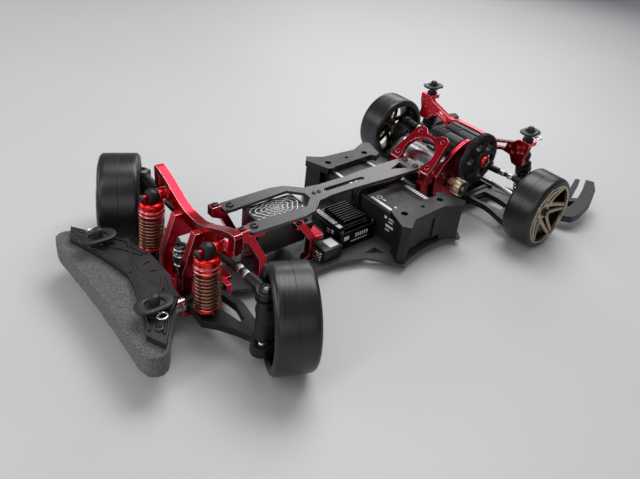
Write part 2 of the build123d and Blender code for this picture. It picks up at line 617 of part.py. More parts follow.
# Tooth phases in degrees, so that teeth meet gaps
SPUR_PHASE = direction(SPUR_X, SPUR_Z, MOTOR_X, MOTOR_Z)
PINION_PHASE = SPUR_PHASE + 180 + 180 / PINION_TEETH
TOP_PHASE = direction(SPUR_X, SPUR_Z, IDLER_X, IDLER_Z)
IDLER_PHASE = TOP_PHASE + 180 + 180 / IDLER_TEETH
TO_DIFF = direction(IDLER_X, IDLER_Z, REAR_X, AXLE_Z)
TOOTH_PART = ((TO_DIFF - IDLER_PHASE) / (360 / IDLER_TEETH)) % 1.0
DIFF_PHASE = TO_DIFF + 180 + (TOOTH_PART + 0.5) * 360 / DIFF_TEETH


def box_gear(teeth, x, z, phase):
    return gear(BOX_MODULE, teeth, x, z, -BOX_GEAR_Y, BOX_GEAR_Y, phase)


def spur_gear():
    """Spur gear, its shaft and the gearbox top gear."""
    spur = gear(SPUR_MODULE, SPUR_TEETH, SPUR_X, SPUR_Z, GEAR_Y - 2.0, GEAR_Y + 2.0, SPUR_PHASE)
    for k in range(6):
        # angle offset, distance from the centre, hole radius
        for offset, reach, radius in ((10, 14.0, 4.7), (40, 17.0, 1.4)):
            a = math.radians(60 * k + offset)
            spur -= cyl_y(SPUR_X + reach * math.cos(a), SPUR_Z + reach * math.sin(a), radius, 20, 50)
    spur += (cyl_y(SPUR_X, SPUR_Z, 7.4, GEAR_Y - 5.2, GEAR_Y + 4.6)
             + cyl_y(SPUR_X, SPUR_Z, 3.0, -17.5, GEAR_Y + 8.0))
    return spur + box_gear(TOP_TEETH, SPUR_X, SPUR_Z, TOP_PHASE)


def pinion_gear():
    pinion = gear(SPUR_MODULE, PINION_TEETH, MOTOR_X, MOTOR_Z, GEAR_Y - 4.2, GEAR_Y + 4.2,
                  PINION_PHASE)
    return pinion + (cyl_y(MOTOR_X, MOTOR_Z, 4.6, GEAR_Y - 9.5, GEAR_Y - 4.0)
                     + cyl_y(MOTOR_X, MOTOR_Z, 1.6, -32.0, GEAR_Y + 5.6))


def idler_gear():
    return (box_gear(IDLER_TEETH, IDLER_X, IDLER_Z, IDLER_PHASE)
            - cyl_y(IDLER_X, IDLER_Z, 2.1, -10, 10))


def diff_gear():
    """Gear with its housing and two outdrive cups."""
    def ring(radius, y0, y1):
        return cyl_y(REAR_X, AXLE_Z, radius, y0, y1)

    diff = box_gear(DIFF_TEETH, REAR_X, AXLE_Z, DIFF_PHASE)
    diff += (ring(11.0, -11.5, 11.5) + ring(4.0, -26.5, 26.5) + ring(5.6, -26.5, -18.2)
             + ring(5.6, 18.2, 26.5))
    return diff - (ring(4.5, -30, -20.2) + ring(4.5, 20.2, 30))


CASE_WALL, CASE_Y = 1.6, 15.0
CASE_POST = (-126.0, 56.5)            # x, z


def case_form(grow, y):
    """Rounded form around the gears, from -y to y."""
    form = (cyl_y(REAR_X, AXLE_Z, DIFF_R + 1.8 + grow, -y, y)
            + cyl_y(IDLER_X, IDLER_Z, IDLER_R + 1.8 + grow, -y, y)
            + cyl_y(SPUR_X, SPUR_Z, TOP_R + 1.5 + grow, -y, y))
    return form + cyl_y(*CASE_POST, 7.0 + grow, -y, y)


def gearbox_case():
    case = case_form(CASE_WALL, CASE_Y) + box(REAR_X - 15, REAR_X + 12, -15, 15, PLATE_TOP, 20)
    case = case + box(-134.5, -128.0, -15, 15, 52, 66)
    case -= case_form(0, CASE_Y - CASE_WALL)
    case += cyl_y(IDLER_X, IDLER_Z, 2.0, -14, 14) + cyl_y(*CASE_POST, 2.6, -14, 14)
    case -= cyl_y(REAR_X, AXLE_Z, 5.0, -30, 30) + cyl_y(SPUR_X, SPUR_Z, 3.1, -16, 16)
    for side in SIDES:
        # arm blocks, hinge pins and upper link pins
        for x0, x1 in ((-151.5, -148.4), (-113.4, -110.0)):
            case += box(x0, x1, side * 10, side * 28.4, PLATE_TOP, 16.6)
        case += cyl_x(side * REAR_ARM_Y, REAR_ARM_Z, HINGE_PIN_R, -151.5, -110.0)
        case += (box(-138.2, -135.2, side * 12, side * 31.5, 39.5, 45.0)
                 + cyl_x(side * REAR_LINK_Y, REAR_LINK_Z, HINGE_PIN_R, -137, -129.0))
    case += box(-151.5, -148.4, -12, 12, PLATE_TOP, 12) + box(-151.5, -110.0, -12, 12, PLATE_TOP, 9.4)
    return case - box(-140, -115, -4.2, 4.2, 8.4, 14)


# ------------------------- rear end ----------------------------------------------
def rear_shock_tower():
    half = [                          # y, z
        (0, 67.4), (12, 67.2), (17.5, 66.8), (21, 65.2), (26, 66.0), (46.5, 72.6),
        (49.5, 75.8), (62.0, 77.0), (62.0, 71.0), (59.5, 62.0), (60.5, 56.5), (57.5, 53.0),
        (50, 54.2), (46.0, 60.5), (38, 61.4), (27, 57.6), (19, 53.0), (0, 52.4)]
    window = [(41, 69.0), (28, 64.6), (28, 60.8), (40, 64.2)]
    holes = [(54.0, 66.2), (48.4, 64.2), (53.0, 71.0), (58.0, 67.5), (44.6, 68.4), (58.2, 72.4)]
    _, pin_y, pin_z = REAR_SHOCK_TOP
    tower = prism_x(sym_yz(half), -139.2, -134.8)
    for side in SIDES:
        # ledge under the body post
        tower += box(-147.0, -134.8, side * 50.2, side * 61.5, 73.4, 77.0)
        tower -= prism_x([(side * y, z) for y, z in window], -150, -130)
        for y, z in holes:
            tower -= cyl_x(side * y, z, 1.3, -150, -130)
        tower += (cyl_x(side * pin_y, pin_z, 3.3, -143.6, -134.8)
                  + cyl_x(side * pin_y, pin_z, 1.9, -152.6, -136))
    return tower


def rear_lower_arm():
    end_y = REAR_HINGE_Y + 1
    outline = [
        (-147.4, REAR_ARM_Y), (-147.6, 60), (-146.4, end_y), (-139.6, end_y), (-139.0, 64.5),
        (-118.0, 64.5), (-117.4, end_y), (-112.2, end_y), (-112.0, 68), (-114.0, 61),
        (-116.6, 53), (-117.8, 45), (-117.0, 37), (-114.4, REAR_ARM_Y)]
    window = [(-138.0, 31), (-139.0, 44), (-137.0, 58), (-122.0, 58), (-121.6, 44),
              (-119.5, 33), (-121.5, 30), (-136.0, 30)]
    x, y, _ = REAR_SHOCK_FOOT
    arm = cyl_x(REAR_ARM_Y, REAR_ARM_Z, 3.6, -147.8, -114.0)
    arm += prism_z(outline, 9.4, 14.4)
    arm -= prism_z(window, 0, 30)
    arm += prism_z([(-147.0, 34), (-153.6, 54), (-153.6, 67.5), (-146.0, 71)], 9.4, 14.4)
    arm -= cyl_z(x, y, 4.4, 0, 30)
    arm += (cyl_x(REAR_HINGE_Y, REAR_ARM_Z, 3.2, -146.4, -139.6)
            + cyl_x(REAR_HINGE_Y, REAR_ARM_Z, 3.2, -117.4, -112.2))
    arm -= cyl_x(REAR_ARM_Y, REAR_ARM_Z, HINGE_BORE_R, -160, -100)
    arm += cyl_x(REAR_HINGE_Y, REAR_ARM_Z, HINGE_PIN_R, -146.4, -112.2)
    # seat of the shock ball
    arm += box(x - 4.9, x + 4.9, y - 4.8, y + 4.8, 9.4, 12.2)
    return arm - ball(REAR_SHOCK_FOOT, 3.4)


def rear_hub():
    hub = cyl_x(REAR_HINGE_Y, REAR_ARM_Z, 3.7, -138.8, -118.2)
    hub = hub + cyl_y(REAR_X, AXLE_Z, 9.0, 66.8, 76.4)
    hub += (box(REAR_X - 6.2, REAR_X + 6.2, 68.6, 75.4, 12, 41)
            + box(REAR_LINK_X - 3.6, -122.3, 69.5, 74.5, 38, 41.2)
            + cyl_z(REAR_LINK_X, REAR_LINK_OUT_Y, 1.5, 41, 47.6))
    hub -= cyl_y(REAR_X, AXLE_Z, 6.2, 60, 80)
    return hub - cyl_x(REAR_HINGE_Y, REAR_ARM_Z, HINGE_BORE_R, -150, -110)


def rear_upper_link():
    x, y0, z0 = REAR_LINK_X, REAR_LINK_Y, REAR_LINK_Z
    y1, z1 = REAR_LINK_OUT_Y, REAR_LINK_OUT_Z
    link = cyl_x(y0, z0, 3.6, x - 2.6, x + 2.6) + cyl_z(x, y1, 4.4, 42.4, 46.0)
    link += (rod((x, y0 + 2, z0 + 0.1), (x, y1 - 3, z1), 1.9)
             + rod((x, y0 + 3, z0 + 0.2), (x, 42, 42.8), 2.8)
             + rod((x, 58, 43.5), (x, y1 - 3.6, z1), 2.8))
    return link - (cyl_x(y0, z0, HINGE_BORE_R, x - 10, x + 10) + cyl_z(x, y1, 2.3, 30, 60))


def driveshaft():
    """From the diff outdrive to the stub axle cup."""
    inner, outer = (REAR_X, REAR_ARM_Y, AXLE_Z), (REAR_X, REAR_HINGE_Y, AXLE_Z)
    shaft = ball(inner, 3.5) + rod(inner, outer, 2.0) + ball(outer, 3.3)
    return shaft + cyl_x(REAR_ARM_Y, AXLE_Z, 0.9, REAR_X - 4.1, REAR_X + 4.1)


def rear_bumper():
    """Plan outline cut to a side profile that rises rearwards."""
    half = [
        (-153.2, 0), (-153.2, 30), (-164, 62), (-170, 92), (-176, 101.5), (-186, 103.5),
        (-205, 101.6), (-222, 95.5), (-232.0, 88.0), (-229.5, 80.5), (-214, 86.5),
        (-198, 90.6), (-186, 91), (-181, 84), (-176, 58), (-167, 28), (-165, 0)]
    long_rib = [(-178, 81), (-185, 83), (-224, 72.5), (-226, 76.5), (-188, 87.5), (-180, 87)]
    short_rib = [(-174, 64), (-184, 70), (-203, 92), (-199, 94), (-180, 75), (-174, 70)]
    profile = [                       # x, z
        (-150, 7.25), (-169, 7.25), (-172, 6.8), (-234, 20.6), (-234, 28.6), (-172, 13.0),
        (-166, 11.4), (-150, 11.4)]
    slab = prism_z(sym_xy(half), 0, 60)
    ribs = prism_z(long_rib, 0, 60) + prism_z(short_rib, 0, 60)
    slab = slab + ribs + mir(ribs)
    return slab & prism_y(profile, -110, 110)


# ------------------------- fasteners and body clips -------------------------------
def screw_head(x, y, z):
    """Hex socket head standing on z."""
    top = z + 1.5
    socket = extrude(RegularPolygon(1.2, 6), amount=-0.9)
    return cyl_z(x, y, 2.6, z, top) - Pos(x, y, top) * socket


def fasteners():
    heads = []
    for side in SIDES:
        heads += [screw_head(x, side * y, DECK_TOP) for x, y in DECK_SCREWS]
        heads.append(cyl_z(BUMPER_SCREW[0], side * BUMPER_SCREW[1], 2.0, 28.4, 31.2))
        for (_, y, z), x in ((FRONT_SHOCK_TOP, 146.7), (REAR_SHOCK_TOP, -154.7)):
            heads.append(cyl_x(side * y, z, 3.0, x, x + 2.0))
        # body clips: a ring on a wire through the post
        for x, y, _, z_pad, _ in BODY_POSTS:
            z = z_pad - CLIP_DROP
            ring = Pos(x, side * (y + 9.6), z) * Torus(2.6, 0.55)
            ends = sorted((side * (y - 5), side * (y + 7.2)))
            heads.append(ring + cyl_y(x, z, 0.55, *ends))
    heads += [cyl_y(x, z, 2.6, 21.9, 23.6) for x, z in MOTOR_SCREWS]
    heads.append(cyl_z(*CRANK, 3.6, 28.4, 30.2))
    return heads


# Each function is named after the file it fills
for make in (chassis_plate, upper_deck, front_bulkhead, front_shock_tower, bumper_bracket,
             bumper_foam, body_posts, steering_crank, servo_horn, drag_link, tie_rods, servo,
             servo_mounts, esc, battery_pack, battery_holders, motor, motor_plate,
             motor_brace, spur_gear, pinion_gear, idler_gear, diff_gear, gearbox_case,
             rear_shock_tower, rear_bumper, fasteners):
    save(make.__name__, make())
for make in (front_lower_arm, front_kingpin, front_upper_link, rear_lower_arm, rear_hub,
             rear_upper_link, driveshaft):
    save_pair(make.__name__, make())
save_shocks()
save_wheels_and_knuckles()
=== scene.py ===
"""Radio-controlled car chassis: rounded edges and materials on the CAD pieces, plus added detail.

+X is the front, +Y the left side, +Z up, and the wheels stand on z = 0.
Places and sizes are in millimetres, with x measured from the middle of the wheelbase.
place() turns them into metres in the CAD frame. Shader distances are in metres.
"""
import json
import math

import bmesh
import bpy
from mathutils import Matrix, Vector


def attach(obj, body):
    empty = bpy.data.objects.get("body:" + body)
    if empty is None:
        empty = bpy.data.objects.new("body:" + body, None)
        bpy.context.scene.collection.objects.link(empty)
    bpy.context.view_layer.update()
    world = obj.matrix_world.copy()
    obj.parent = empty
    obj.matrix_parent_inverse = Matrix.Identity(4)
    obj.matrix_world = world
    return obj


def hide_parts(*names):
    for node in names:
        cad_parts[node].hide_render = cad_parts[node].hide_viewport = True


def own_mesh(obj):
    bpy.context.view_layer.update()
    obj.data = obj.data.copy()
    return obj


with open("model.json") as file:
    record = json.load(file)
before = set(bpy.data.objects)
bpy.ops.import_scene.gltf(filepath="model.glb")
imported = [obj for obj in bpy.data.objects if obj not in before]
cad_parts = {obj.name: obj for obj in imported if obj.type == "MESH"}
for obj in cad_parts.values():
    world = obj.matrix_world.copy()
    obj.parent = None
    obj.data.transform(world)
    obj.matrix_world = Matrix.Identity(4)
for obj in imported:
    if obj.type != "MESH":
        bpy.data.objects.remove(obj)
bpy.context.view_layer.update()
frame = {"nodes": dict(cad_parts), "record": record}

# ---------------------------------------------------------------- driving dimensions
MID_X = 21.0                          # middle of the wheelbase in the CAD frame
AXLE_X = 128.5                        # front axle ahead of the middle, rear axle behind it
WHEEL_RADIUS = 31.5
REAR_WHEEL_Y = 88
KINGPIN_Y = 73.6
KINGPIN_TO_WHEEL = 13.6
STEER = math.radians(64)              # both front wheels turned to the left
MOTOR_X, MOTOR_Z = -88.4, 35.2
SPUR_X, SPUR_Z = -107.0, 57.6
SERVO_X, SERVO_Y = 69.0, -3.0         # centre of the printed pattern on the servo
BATTERY_X = -33.0
BRACKET_POST = (172.9, 36.4)          # x, y of the front left body post
DECK_TOP = 48.25
WEAVE_PITCH = 0.00122                 # one tow of the carbon twill, metres

SIDES = (("left", 1), ("right", -1))
UP, DOWN = (0, 0, 1), (0, 0, -1)
FORWARD, BACKWARD = (1, 0, 0), (-1, 0, 0)
LEFT, RIGHT = (0, 1, 0), (0, -1, 0)

# top and bottom pivot of each left shock, and its spring; distances run down from the top pivot
SHOCKS = {
    "front": dict(top=(140.7, 33.4, 57.9), bottom=(141.0, 35.4, 13.6),
                  spring=dict(radius=6.9, wire=0.92, turns=9.5, start=14.6, end=35.2, keep=0.93)),
    "rear": dict(top=(-147.5, 54, 60), bottom=(-147.5, 61, 16),
                 spring=dict(radius=6.3, wire=0.7, turns=8, start=13.6, end=34.5, keep=0.86)),
}


def place(x, y, z):
    """Millimetres from mid wheelbase to a point in metres in the CAD frame."""
    return Vector(((x + MID_X) / 1000, y / 1000, z / 1000))


# ---------------------------------------------------------------- shader helper
class Shader:
    """A material with one Principled surface, and short ways to feed it."""

    def __init__(self, name):
        self.material = bpy.data.materials.new(name)
        self.material.use_nodes = True
        self.tree = self.material.node_tree
        self.tree.nodes.clear()
        output = self.tree.nodes.new("ShaderNodeOutputMaterial")
        self.principled = self.tree.nodes.new("ShaderNodeBsdfPrincipled")
        self.tree.links.new(self.principled.outputs[0], output.inputs[0])
        self.coords = self.node("TexCoord").outputs["Object"]

    def feed(self, socket, value):
        if isinstance(value, bpy.types.NodeSocket):
            self.tree.links.new(value, socket)
        else:
            socket.default_value = value

    def node(self, kind, *values, **settings):
        """Values fill the first sockets; lowercase settings are properties, others are sockets."""
        node = self.tree.nodes.new("ShaderNode" + kind)
        for key, value in settings.items():
            if key[0].islower():
                setattr(node, key, value)
            else:
                self.feed(node.inputs[key.replace("_", " ")], value)
        for index, value in enumerate(values):
            self.feed(node.inputs[index], value)
        return node

    def surface(self, **settings):
        for key, value in settings.items():
            self.feed(self.principled.inputs[key.replace("_", " ")], value)

    def math(self, operation, a, b=0.0):
        return self.node("Math", a, b, operation=operation).outputs[0]

    def plus(self, a, b):
        return self.math("ADD", a, b)

    def minus(self, a, b):
        return self.math("SUBTRACT", a, b)

    def product(self, first, *others):
        for other in others:
            first = self.math("MULTIPLY", first, other)
        return first

    def union(self, first, *others):
        for other in others:
            first = self.math("MAXIMUM", first, other)
        return first

    def above(self, value, limit):
        return self.math("GREATER_THAN", value, limit)

    def below(self, value, limit):
        return self.math("LESS_THAN", value, limit)

    def between(self, value, low, high):
        return self.product(self.above(value, low), self.below(value, high))

    def within(self, value, limit):
        return self.below(self.math("ABSOLUTE", value), limit)

    def distance(self, a, b):
        return self.math("SQRT", self.plus(self.product(a, a), self.product(b, b)))

    def noise(self, scale, detail, vector=None):
        return self.node("TexNoise", Vector=vector or self.coords, Scale=scale, Detail=detail,
                         Roughness=0.55).outputs["Fac"]

    def cells(self, scale):
        return self.node("TexVoronoi", Vector=self.coords, Scale=scale).outputs["Distance"]

    def stretch(self, *scale):
        return self.node("Mapping", Vector=self.coords, Scale=scale).outputs[0]

    def ramp(self, factor, stops):
        node = self.node("ValToRGB", Fac=factor)
        elements = node.color_ramp.elements
        while len(elements) < len(stops):
            elements.new(0.5)
        for element, (position, colour) in zip(elements, stops):
            element.position = position
            element.color = (*colour, 1)
        return node.outputs[0]

    def mix(self, factor, a, b):
        """Blend two colours."""
        node = self.node("Mix", factor, data_type="RGBA")
        for index, colour in ((6, a), (7, b)):
            self.feed(node.inputs[index], (*colour, 1) if isinstance(colour, tuple) else colour)
        return node.outputs[2]

    def mix_value(self, factor, a, b):
        node = self.node("Mix", factor, data_type="FLOAT")
        self.feed(node.inputs[2], a)
        self.feed(node.inputs[3], b)
        return node.outputs[0]

    def edge_wear_and_highlight(self, colour, edge, amount, tint):
        """Tint the edges picked out by an edge mask: edge wear on some materials, painted
        highlight on others.
        """
        return self.mix(self.product(edge, amount), colour, tint)

    def remap(self, value, source, to=(0.0, 1.0)):
        return self.node("MapRange", value, *source, *to).outputs[0]

    def varied(self, noise, low, high):
        """Spread the middle of a noise between two values."""
        return self.remap(noise, source=(0.3, 0.7), to=(low, high))

    def axes(self, vector):
        return self.node("SeparateXYZ", vector).outputs

    def bump(self, height, strength, distance, normal=None):
        node = self.node("Bump", Strength=strength, Distance=distance, Height=height)
        if normal is not None:
            self.feed(node.inputs["Normal"], normal)
        return node.outputs[0]

    def edge(self, radius, low=0.03, high=0.2):
        """Rounded normal, and a mask of the edges."""
        rounded = self.node("Bevel", samples=4, Radius=radius).outputs[0]
        flat = self.node("NewGeometry").outputs["Normal"]
        dot = self.node("VectorMath", rounded, flat, operation="DOT_PRODUCT").outputs["Value"]
        return rounded, self.remap(self.minus(1.0, dot), source=(low, high))


# ---------------------------------------------------------------- materials
def red_metal(name, dark, light):
    """Red anodised aluminium; its pale edges are part machined chamfer colour and part painted
    highlight.
    """
    shader = Shader(name)
    normal, edge = shader.edge(radius=0.0006, low=0.015, high=0.10)
    cloud = shader.noise(scale=60, detail=4)
    fine = shader.noise(scale=2600, detail=2)
    # pale pink edge tint: part machined chamfer colour, part painted highlight
    colour = shader.edge_wear_and_highlight(shader.mix(cloud, dark, light), edge, amount=0.92, tint=(1.0, 0.70, 0.71))
    shader.surface(Base_Color=colour, Metallic=1.0,
                   Roughness=shader.varied(cloud, low=0.24, high=0.34),
                   Normal=shader.bump(fine, strength=0.10, distance=0.00006, normal=normal),
                   Coat_Weight=0.25, Coat_Roughness=0.12)
    return shader.material


def carbon():
    """Checkered weave seen from above and below, thin layers on the cut sides."""
    shader = Shader("carbon_twill")
    normal, edge = shader.edge(radius=0.0003)
    tows = 1 / WEAVE_PITCH
    along_x, along_y, _ = shader.axes(shader.stretch(tows, tows, tows))
    cell = shader.plus(shader.math("FLOOR", along_x), shader.math("FLOOR", along_y))
    even_offset = 4000.0              # keeps the cell count positive for the modulo
    parity = shader.math("MODULO", shader.plus(cell, even_offset), 2.0)
    warp = shader.below(parity, 0.5)

    def crown(across):
        """Parabola over one tow, 1 at its middle and 0 at its edges."""
        centred = shader.minus(shader.math("FRACT", across), 0.5)
        return shader.minus(1.0, shader.product(centred, centred, 4.0))

    height = shader.mix_value(warp, crown(along_y), crown(along_x))
    thin, long = 14 * tows, 0.7 * tows          # fibre scale across and along a tow
    fibres_y = shader.noise(scale=1.0, detail=2, vector=shader.stretch(thin, long, tows))
    fibres_x = shader.noise(scale=1.0, detail=2, vector=shader.stretch(long, thin, tows))
    fibre = shader.mix_value(warp, fibres_x, fibres_y)
    colour = shader.mix(warp, (0.010, 0.010, 0.011), (0.085, 0.085, 0.090))
    fibre_amount = shader.remap(fibre, source=(0.35, 0.7), to=(0.0, 0.35))
    colour = shader.mix(fibre_amount, colour, (0.055, 0.055, 0.06))
    facing = shader.axes(shader.node("NewGeometry").outputs["Normal"])[2]
    side = shader.within(facing, 0.5)
    layers = shader.node("TexWave", bands_direction="Z", Vector=shader.coords, Scale=640.0,
                         Distortion=0.6, Detail=1.0).outputs["Fac"]
    layer_stops = [(0.2, (0.012,) * 3), (0.8, (0.05,) * 3)]
    colour = shader.mix(side, colour, shader.ramp(layers, layer_stops))
    colour = shader.edge_wear_and_highlight(colour, edge, amount=0.5, tint=(0.22, 0.22, 0.23))
    shader.surface(Base_Color=colour, Metallic=0.15,
                   Roughness=shader.remap(warp, source=(0, 1), to=(0.42, 0.30)),
                   Normal=shader.bump(height, strength=0.30, distance=0.00012, normal=normal),
                   Coat_Weight=0.35, Coat_Roughness=0.22)
    return shader.material


def plastic(name, dark, light, roughness, grain=0.12, edge_wear_and_highlight=(0.10, 0.10, 0.11)):
    """Moulded plastic; grain is the strength of its fine relief."""
    shader = Shader(name)
    normal, edge = shader.edge(radius=0.0004)
    cloud = shader.noise(scale=90, detail=4)
    fine = shader.noise(scale=1800, detail=2)
    pits = shader.cells(scale=1080)
    # lighter edge tint: part edge wear, part painted highlight
    colour = shader.edge_wear_and_highlight(shader.mix(cloud, dark, light), edge, amount=0.45, tint=edge_wear_and_highlight)
    relief = shader.plus(fine, shader.product(pits, 0.6))
    shader.surface(Base_Color=colour,
                   Roughness=shader.varied(cloud, low=roughness - 0.05, high=roughness + 0.07),
                   Normal=shader.bump(relief, strength=grain, distance=0.00012, normal=normal),
                   Specular_IOR_Level=0.36)
    return shader.material


def metal(name, dark, light, roughness, edge_wear_and_highlight, grain=(900, 900, 900), coat=0.0):
    """Bare or coated metal; unequal grain scales give it a brushed direction."""
    shader = Shader(name)
    normal, edge = shader.edge(radius=0.0003)
    cloud = shader.noise(scale=120, detail=3)
    streak = shader.noise(scale=1.0, detail=3, vector=shader.stretch(*grain))
    colour = shader.edge_wear_and_highlight(shader.mix(streak, dark, light), edge, amount=0.8, tint=edge_wear_and_highlight)
    shader.surface(Base_Color=colour, Metallic=1.0,
                   Roughness=shader.varied(cloud, low=roughness - 0.04, high=roughness + 0.08),
                   Normal=shader.bump(streak, strength=0.10, distance=0.00006, normal=normal),
                   Coat_Weight=coat, Coat_Roughness=0.1)
    return shader.material


def tyre_rubber():
    """Dark rubber with faint streaks running round the wheel's Y axis."""
    shader = Shader("tyre_rubber")
    x, y, z = shader.axes(shader.coords)
    radius = shader.distance(x, z)
    angle = shader.math("ARCTAN2", z, x)
    # texture scale round the tyre, across it and outwards
    unrolled = shader.node("CombineXYZ", shader.product(angle, 0.4), shader.product(y, 900.0),
                           shader.product(radius, 500.0)).outputs[0]
    streak = shader.noise(scale=1.0, detail=4, vector=unrolled)
    blotch = shader.noise(scale=55, detail=3)
    fine = shader.noise(scale=2200, detail=2)
    colour = shader.mix(streak, (0.0045, 0.0045, 0.0048), (0.012, 0.012, 0.0125))
    blotch_amount = shader.remap(blotch, source=(0.5, 0.75), to=(0.0, 0.35))
    colour = shader.mix(blotch_amount, colour, (0.018, 0.018, 0.0185))
    fine_normal = shader.bump(fine, strength=0.08, distance=0.0001)
    shader.surface(Base_Color=colour, Roughness=shader.varied(streak, low=0.27, high=0.38),
                   Specular_IOR_Level=0.5,
                   Normal=shader.bump(streak, strength=0.10, distance=0.00025,
                                      normal=fine_normal))
    return shader.material


def bumper_foam():
    """Open-cell grey foam."""
    shader = Shader("bumper_foam")
    coarse, small = shader.cells(scale=980.0), shader.cells(scale=2000.0)
    grain = shader.noise(scale=1100, detail=3)
    broad = shader.noise(scale=45, detail=3)
    cells = shader.plus(shader.product(coarse, 0.7), shader.product(small, 0.5))
    tone = shader.plus(shader.product(cells, 0.7), shader.product(grain, 0.45))
    colour = shader.ramp(tone, [(0.30, (0.022, 0.021, 0.020)), (0.5, (0.062, 0.060, 0.057)),
                                (0.68, (0.155, 0.150, 0.143))])
    broad_amount = shader.varied(broad, low=0.0, high=0.12)
    colour = shader.mix(broad_amount, colour, (0.085, 0.085, 0.088))
    shader.surface(Base_Color=colour, Roughness=0.95, Specular_IOR_Level=0.25,
                   Sheen_Weight=0.08, Sheen_Roughness=0.5,
                   Normal=shader.bump(shader.minus(grain, cells), strength=0.8, distance=0.0004))
    return shader.material


def rim_bronze():
    """Bronze spokes, dark on the faces that look inwards (local -Y)."""
    shader = Shader("rim_bronze")
    normal, edge = shader.edge(radius=0.00045, low=0.02, high=0.14)
    cloud = shader.noise(scale=80, detail=3)
    fine = shader.noise(scale=2400, detail=2)
    colour = shader.mix(cloud, (0.25, 0.20, 0.135), (0.40, 0.325, 0.225))
    outward = shader.axes(shader.node("TexCoord").outputs["Normal"])[1]
    back_limit = -0.3
    edge = shader.product(edge, shader.above(outward, back_limit))
    colour = shader.mix(shader.below(outward, back_limit), colour, (0.030, 0.026, 0.020))
    # pale champagne edge tint, kept to the outward faces: part machined edge colour, part painted
    # highlight
    colour = shader.edge_wear_and_highlight(colour, edge, amount=0.9, tint=(0.95, 0.86, 0.66))
    shader.surface(Base_Color=colour, Metallic=1.0,
                   Roughness=shader.varied(cloud, low=0.20, high=0.30),
                   Normal=shader.bump(fine, strength=0.08, distance=0.00005, normal=normal),
                   Coat_Weight=0.4, Coat_Roughness=0.08)
    return shader.material


def rim_barrel():
    """Turned lip near the spoke colour, with the well behind it left dark."""
    shader = Shader("rim_barrel")
    normal, edge = shader.edge(radius=0.0004, low=0.02, high=0.14)
    cloud = shader.noise(scale=80, detail=3)
    lip = shader.remap(shader.axes(shader.coords)[1], source=(0.0100, 0.0112))
    well_colour = shader.mix(cloud, (0.020, 0.017, 0.013), (0.040, 0.034, 0.026))
    lip_colour = shader.mix(cloud, (0.30, 0.24, 0.165), (0.44, 0.36, 0.25))
    # pale edge tint on the turned lip: part machined edge colour, part painted highlight
    colour = shader.edge_wear_and_highlight(shader.mix(lip, well_colour, lip_colour), shader.product(edge, lip),
                         amount=0.9, tint=(0.97, 0.90, 0.74))
    shader.surface(Base_Color=colour, Metallic=1.0,
                   Roughness=shader.varied(cloud, low=0.22, high=0.34), Normal=normal)
    return shader.material


def copper_spring():
    shader = Shader("copper_spring")
    cloud = shader.noise(scale=240, detail=3)
    fine = shader.noise(scale=3000, detail=2)
    shader.surface(Base_Color=shader.mix(cloud, (0.17, 0.060, 0.036), (0.34, 0.145, 0.095)),
                   Metallic=0.85, Roughness=shader.varied(cloud, low=0.22, high=0.36),
                   Normal=shader.bump(fine, strength=0.1, distance=0.00005),
                   Coat_Weight=0.5, Coat_Roughness=0.1)
    return shader.material


def servo_case():
    """Satin black case with thin pale rings and rays on the top label."""
    half_length, half_width, label_z = 0.0183, 0.0086, 0.0436
    lobes = 7.0                                   # waves round each ring
    wave, ring_pitch, ring_width = 0.0011, 0.0040, 0.085
    flatten = 3.2                                 # squares in Y count more: oval rings
    ray_width, ray_core = 0.0011, 0.002
    shader = Shader("servo_case")
    normal, edge = shader.edge(radius=0.0004)
    x, y, z = shader.axes(shader.coords)
    off_x = shader.minus(x, (SERVO_X + MID_X) / 1000)
    off_y = shader.minus(y, SERVO_Y / 1000)
    radius = shader.math("SQRT", shader.plus(shader.product(off_x, off_x),
                                             shader.product(off_y, off_y, flatten)))
    angle = shader.math("ARCTAN2", off_y, off_x)

    def lobe_wave():
        return shader.math("SINE", shader.product(angle, lobes))

    wavy = shader.plus(radius, shader.product(lobe_wave(), wave))
    phase = shader.math("FRACT", shader.math("DIVIDE", wavy, ring_pitch))
    ring = shader.within(shader.minus(phase, 0.5), ring_width)
    ray_limit = shader.math("DIVIDE", ray_width, shader.plus(radius, ray_core))
    ray = shader.within(lobe_wave(), ray_limit)
    line = shader.union(ring, shader.product(ray, 1.0))
    inside = shader.product(shader.within(off_x, half_length), shader.within(off_y, half_width))
    mask = shader.product(line, shader.above(z, label_z), inside)
    cloud = shader.noise(scale=90, detail=3)
    fine = shader.noise(scale=1800, detail=2)
    colour = shader.mix(cloud, (0.010, 0.010, 0.011), (0.018, 0.018, 0.020))
    colour = shader.edge_wear_and_highlight(colour, edge, amount=0.4, tint=(0.09, 0.09, 0.10))
    colour = shader.mix(mask, colour, (0.72, 0.72, 0.74))
    shader.surface(Base_Color=colour, Roughness=shader.varied(cloud, low=0.26, high=0.36),
                   Normal=shader.bump(fine, strength=0.08, distance=0.0001, normal=normal))
    return shader.material


# printed areas of the battery in mm from its centre: x from, x to, y from, y to
BATTERY_GREY = [(-10, 16, -40, -12), (-10, 16, 12, 34)]
BATTERY_SOLID = [(17.6, 20.4, -40, -7), (17.6, 20.4, 7, 40), (13.0, 14.6, 14.5, 17.5),
                 (13.0, 14.6, 27.5, 33.5), (13.0, 14.6, -22, -17)]
BATTERY_DASHED = [(-20.4, -16.6, -40, -12), (-20.4, -16.6, 8, 40)]
# marks on its front face: y from, y to, z from, z to
BATTERY_FRONT = [(27.0, 29.6, 26.5, 29.0), (31.6, 38.0, 27.6, 28.8), (31.6, 36.4, 25.0, 26.2),
                 (29.5, 37.5, 20.6, 22.6), (29.5, 34.0, 17.4, 18.6)]


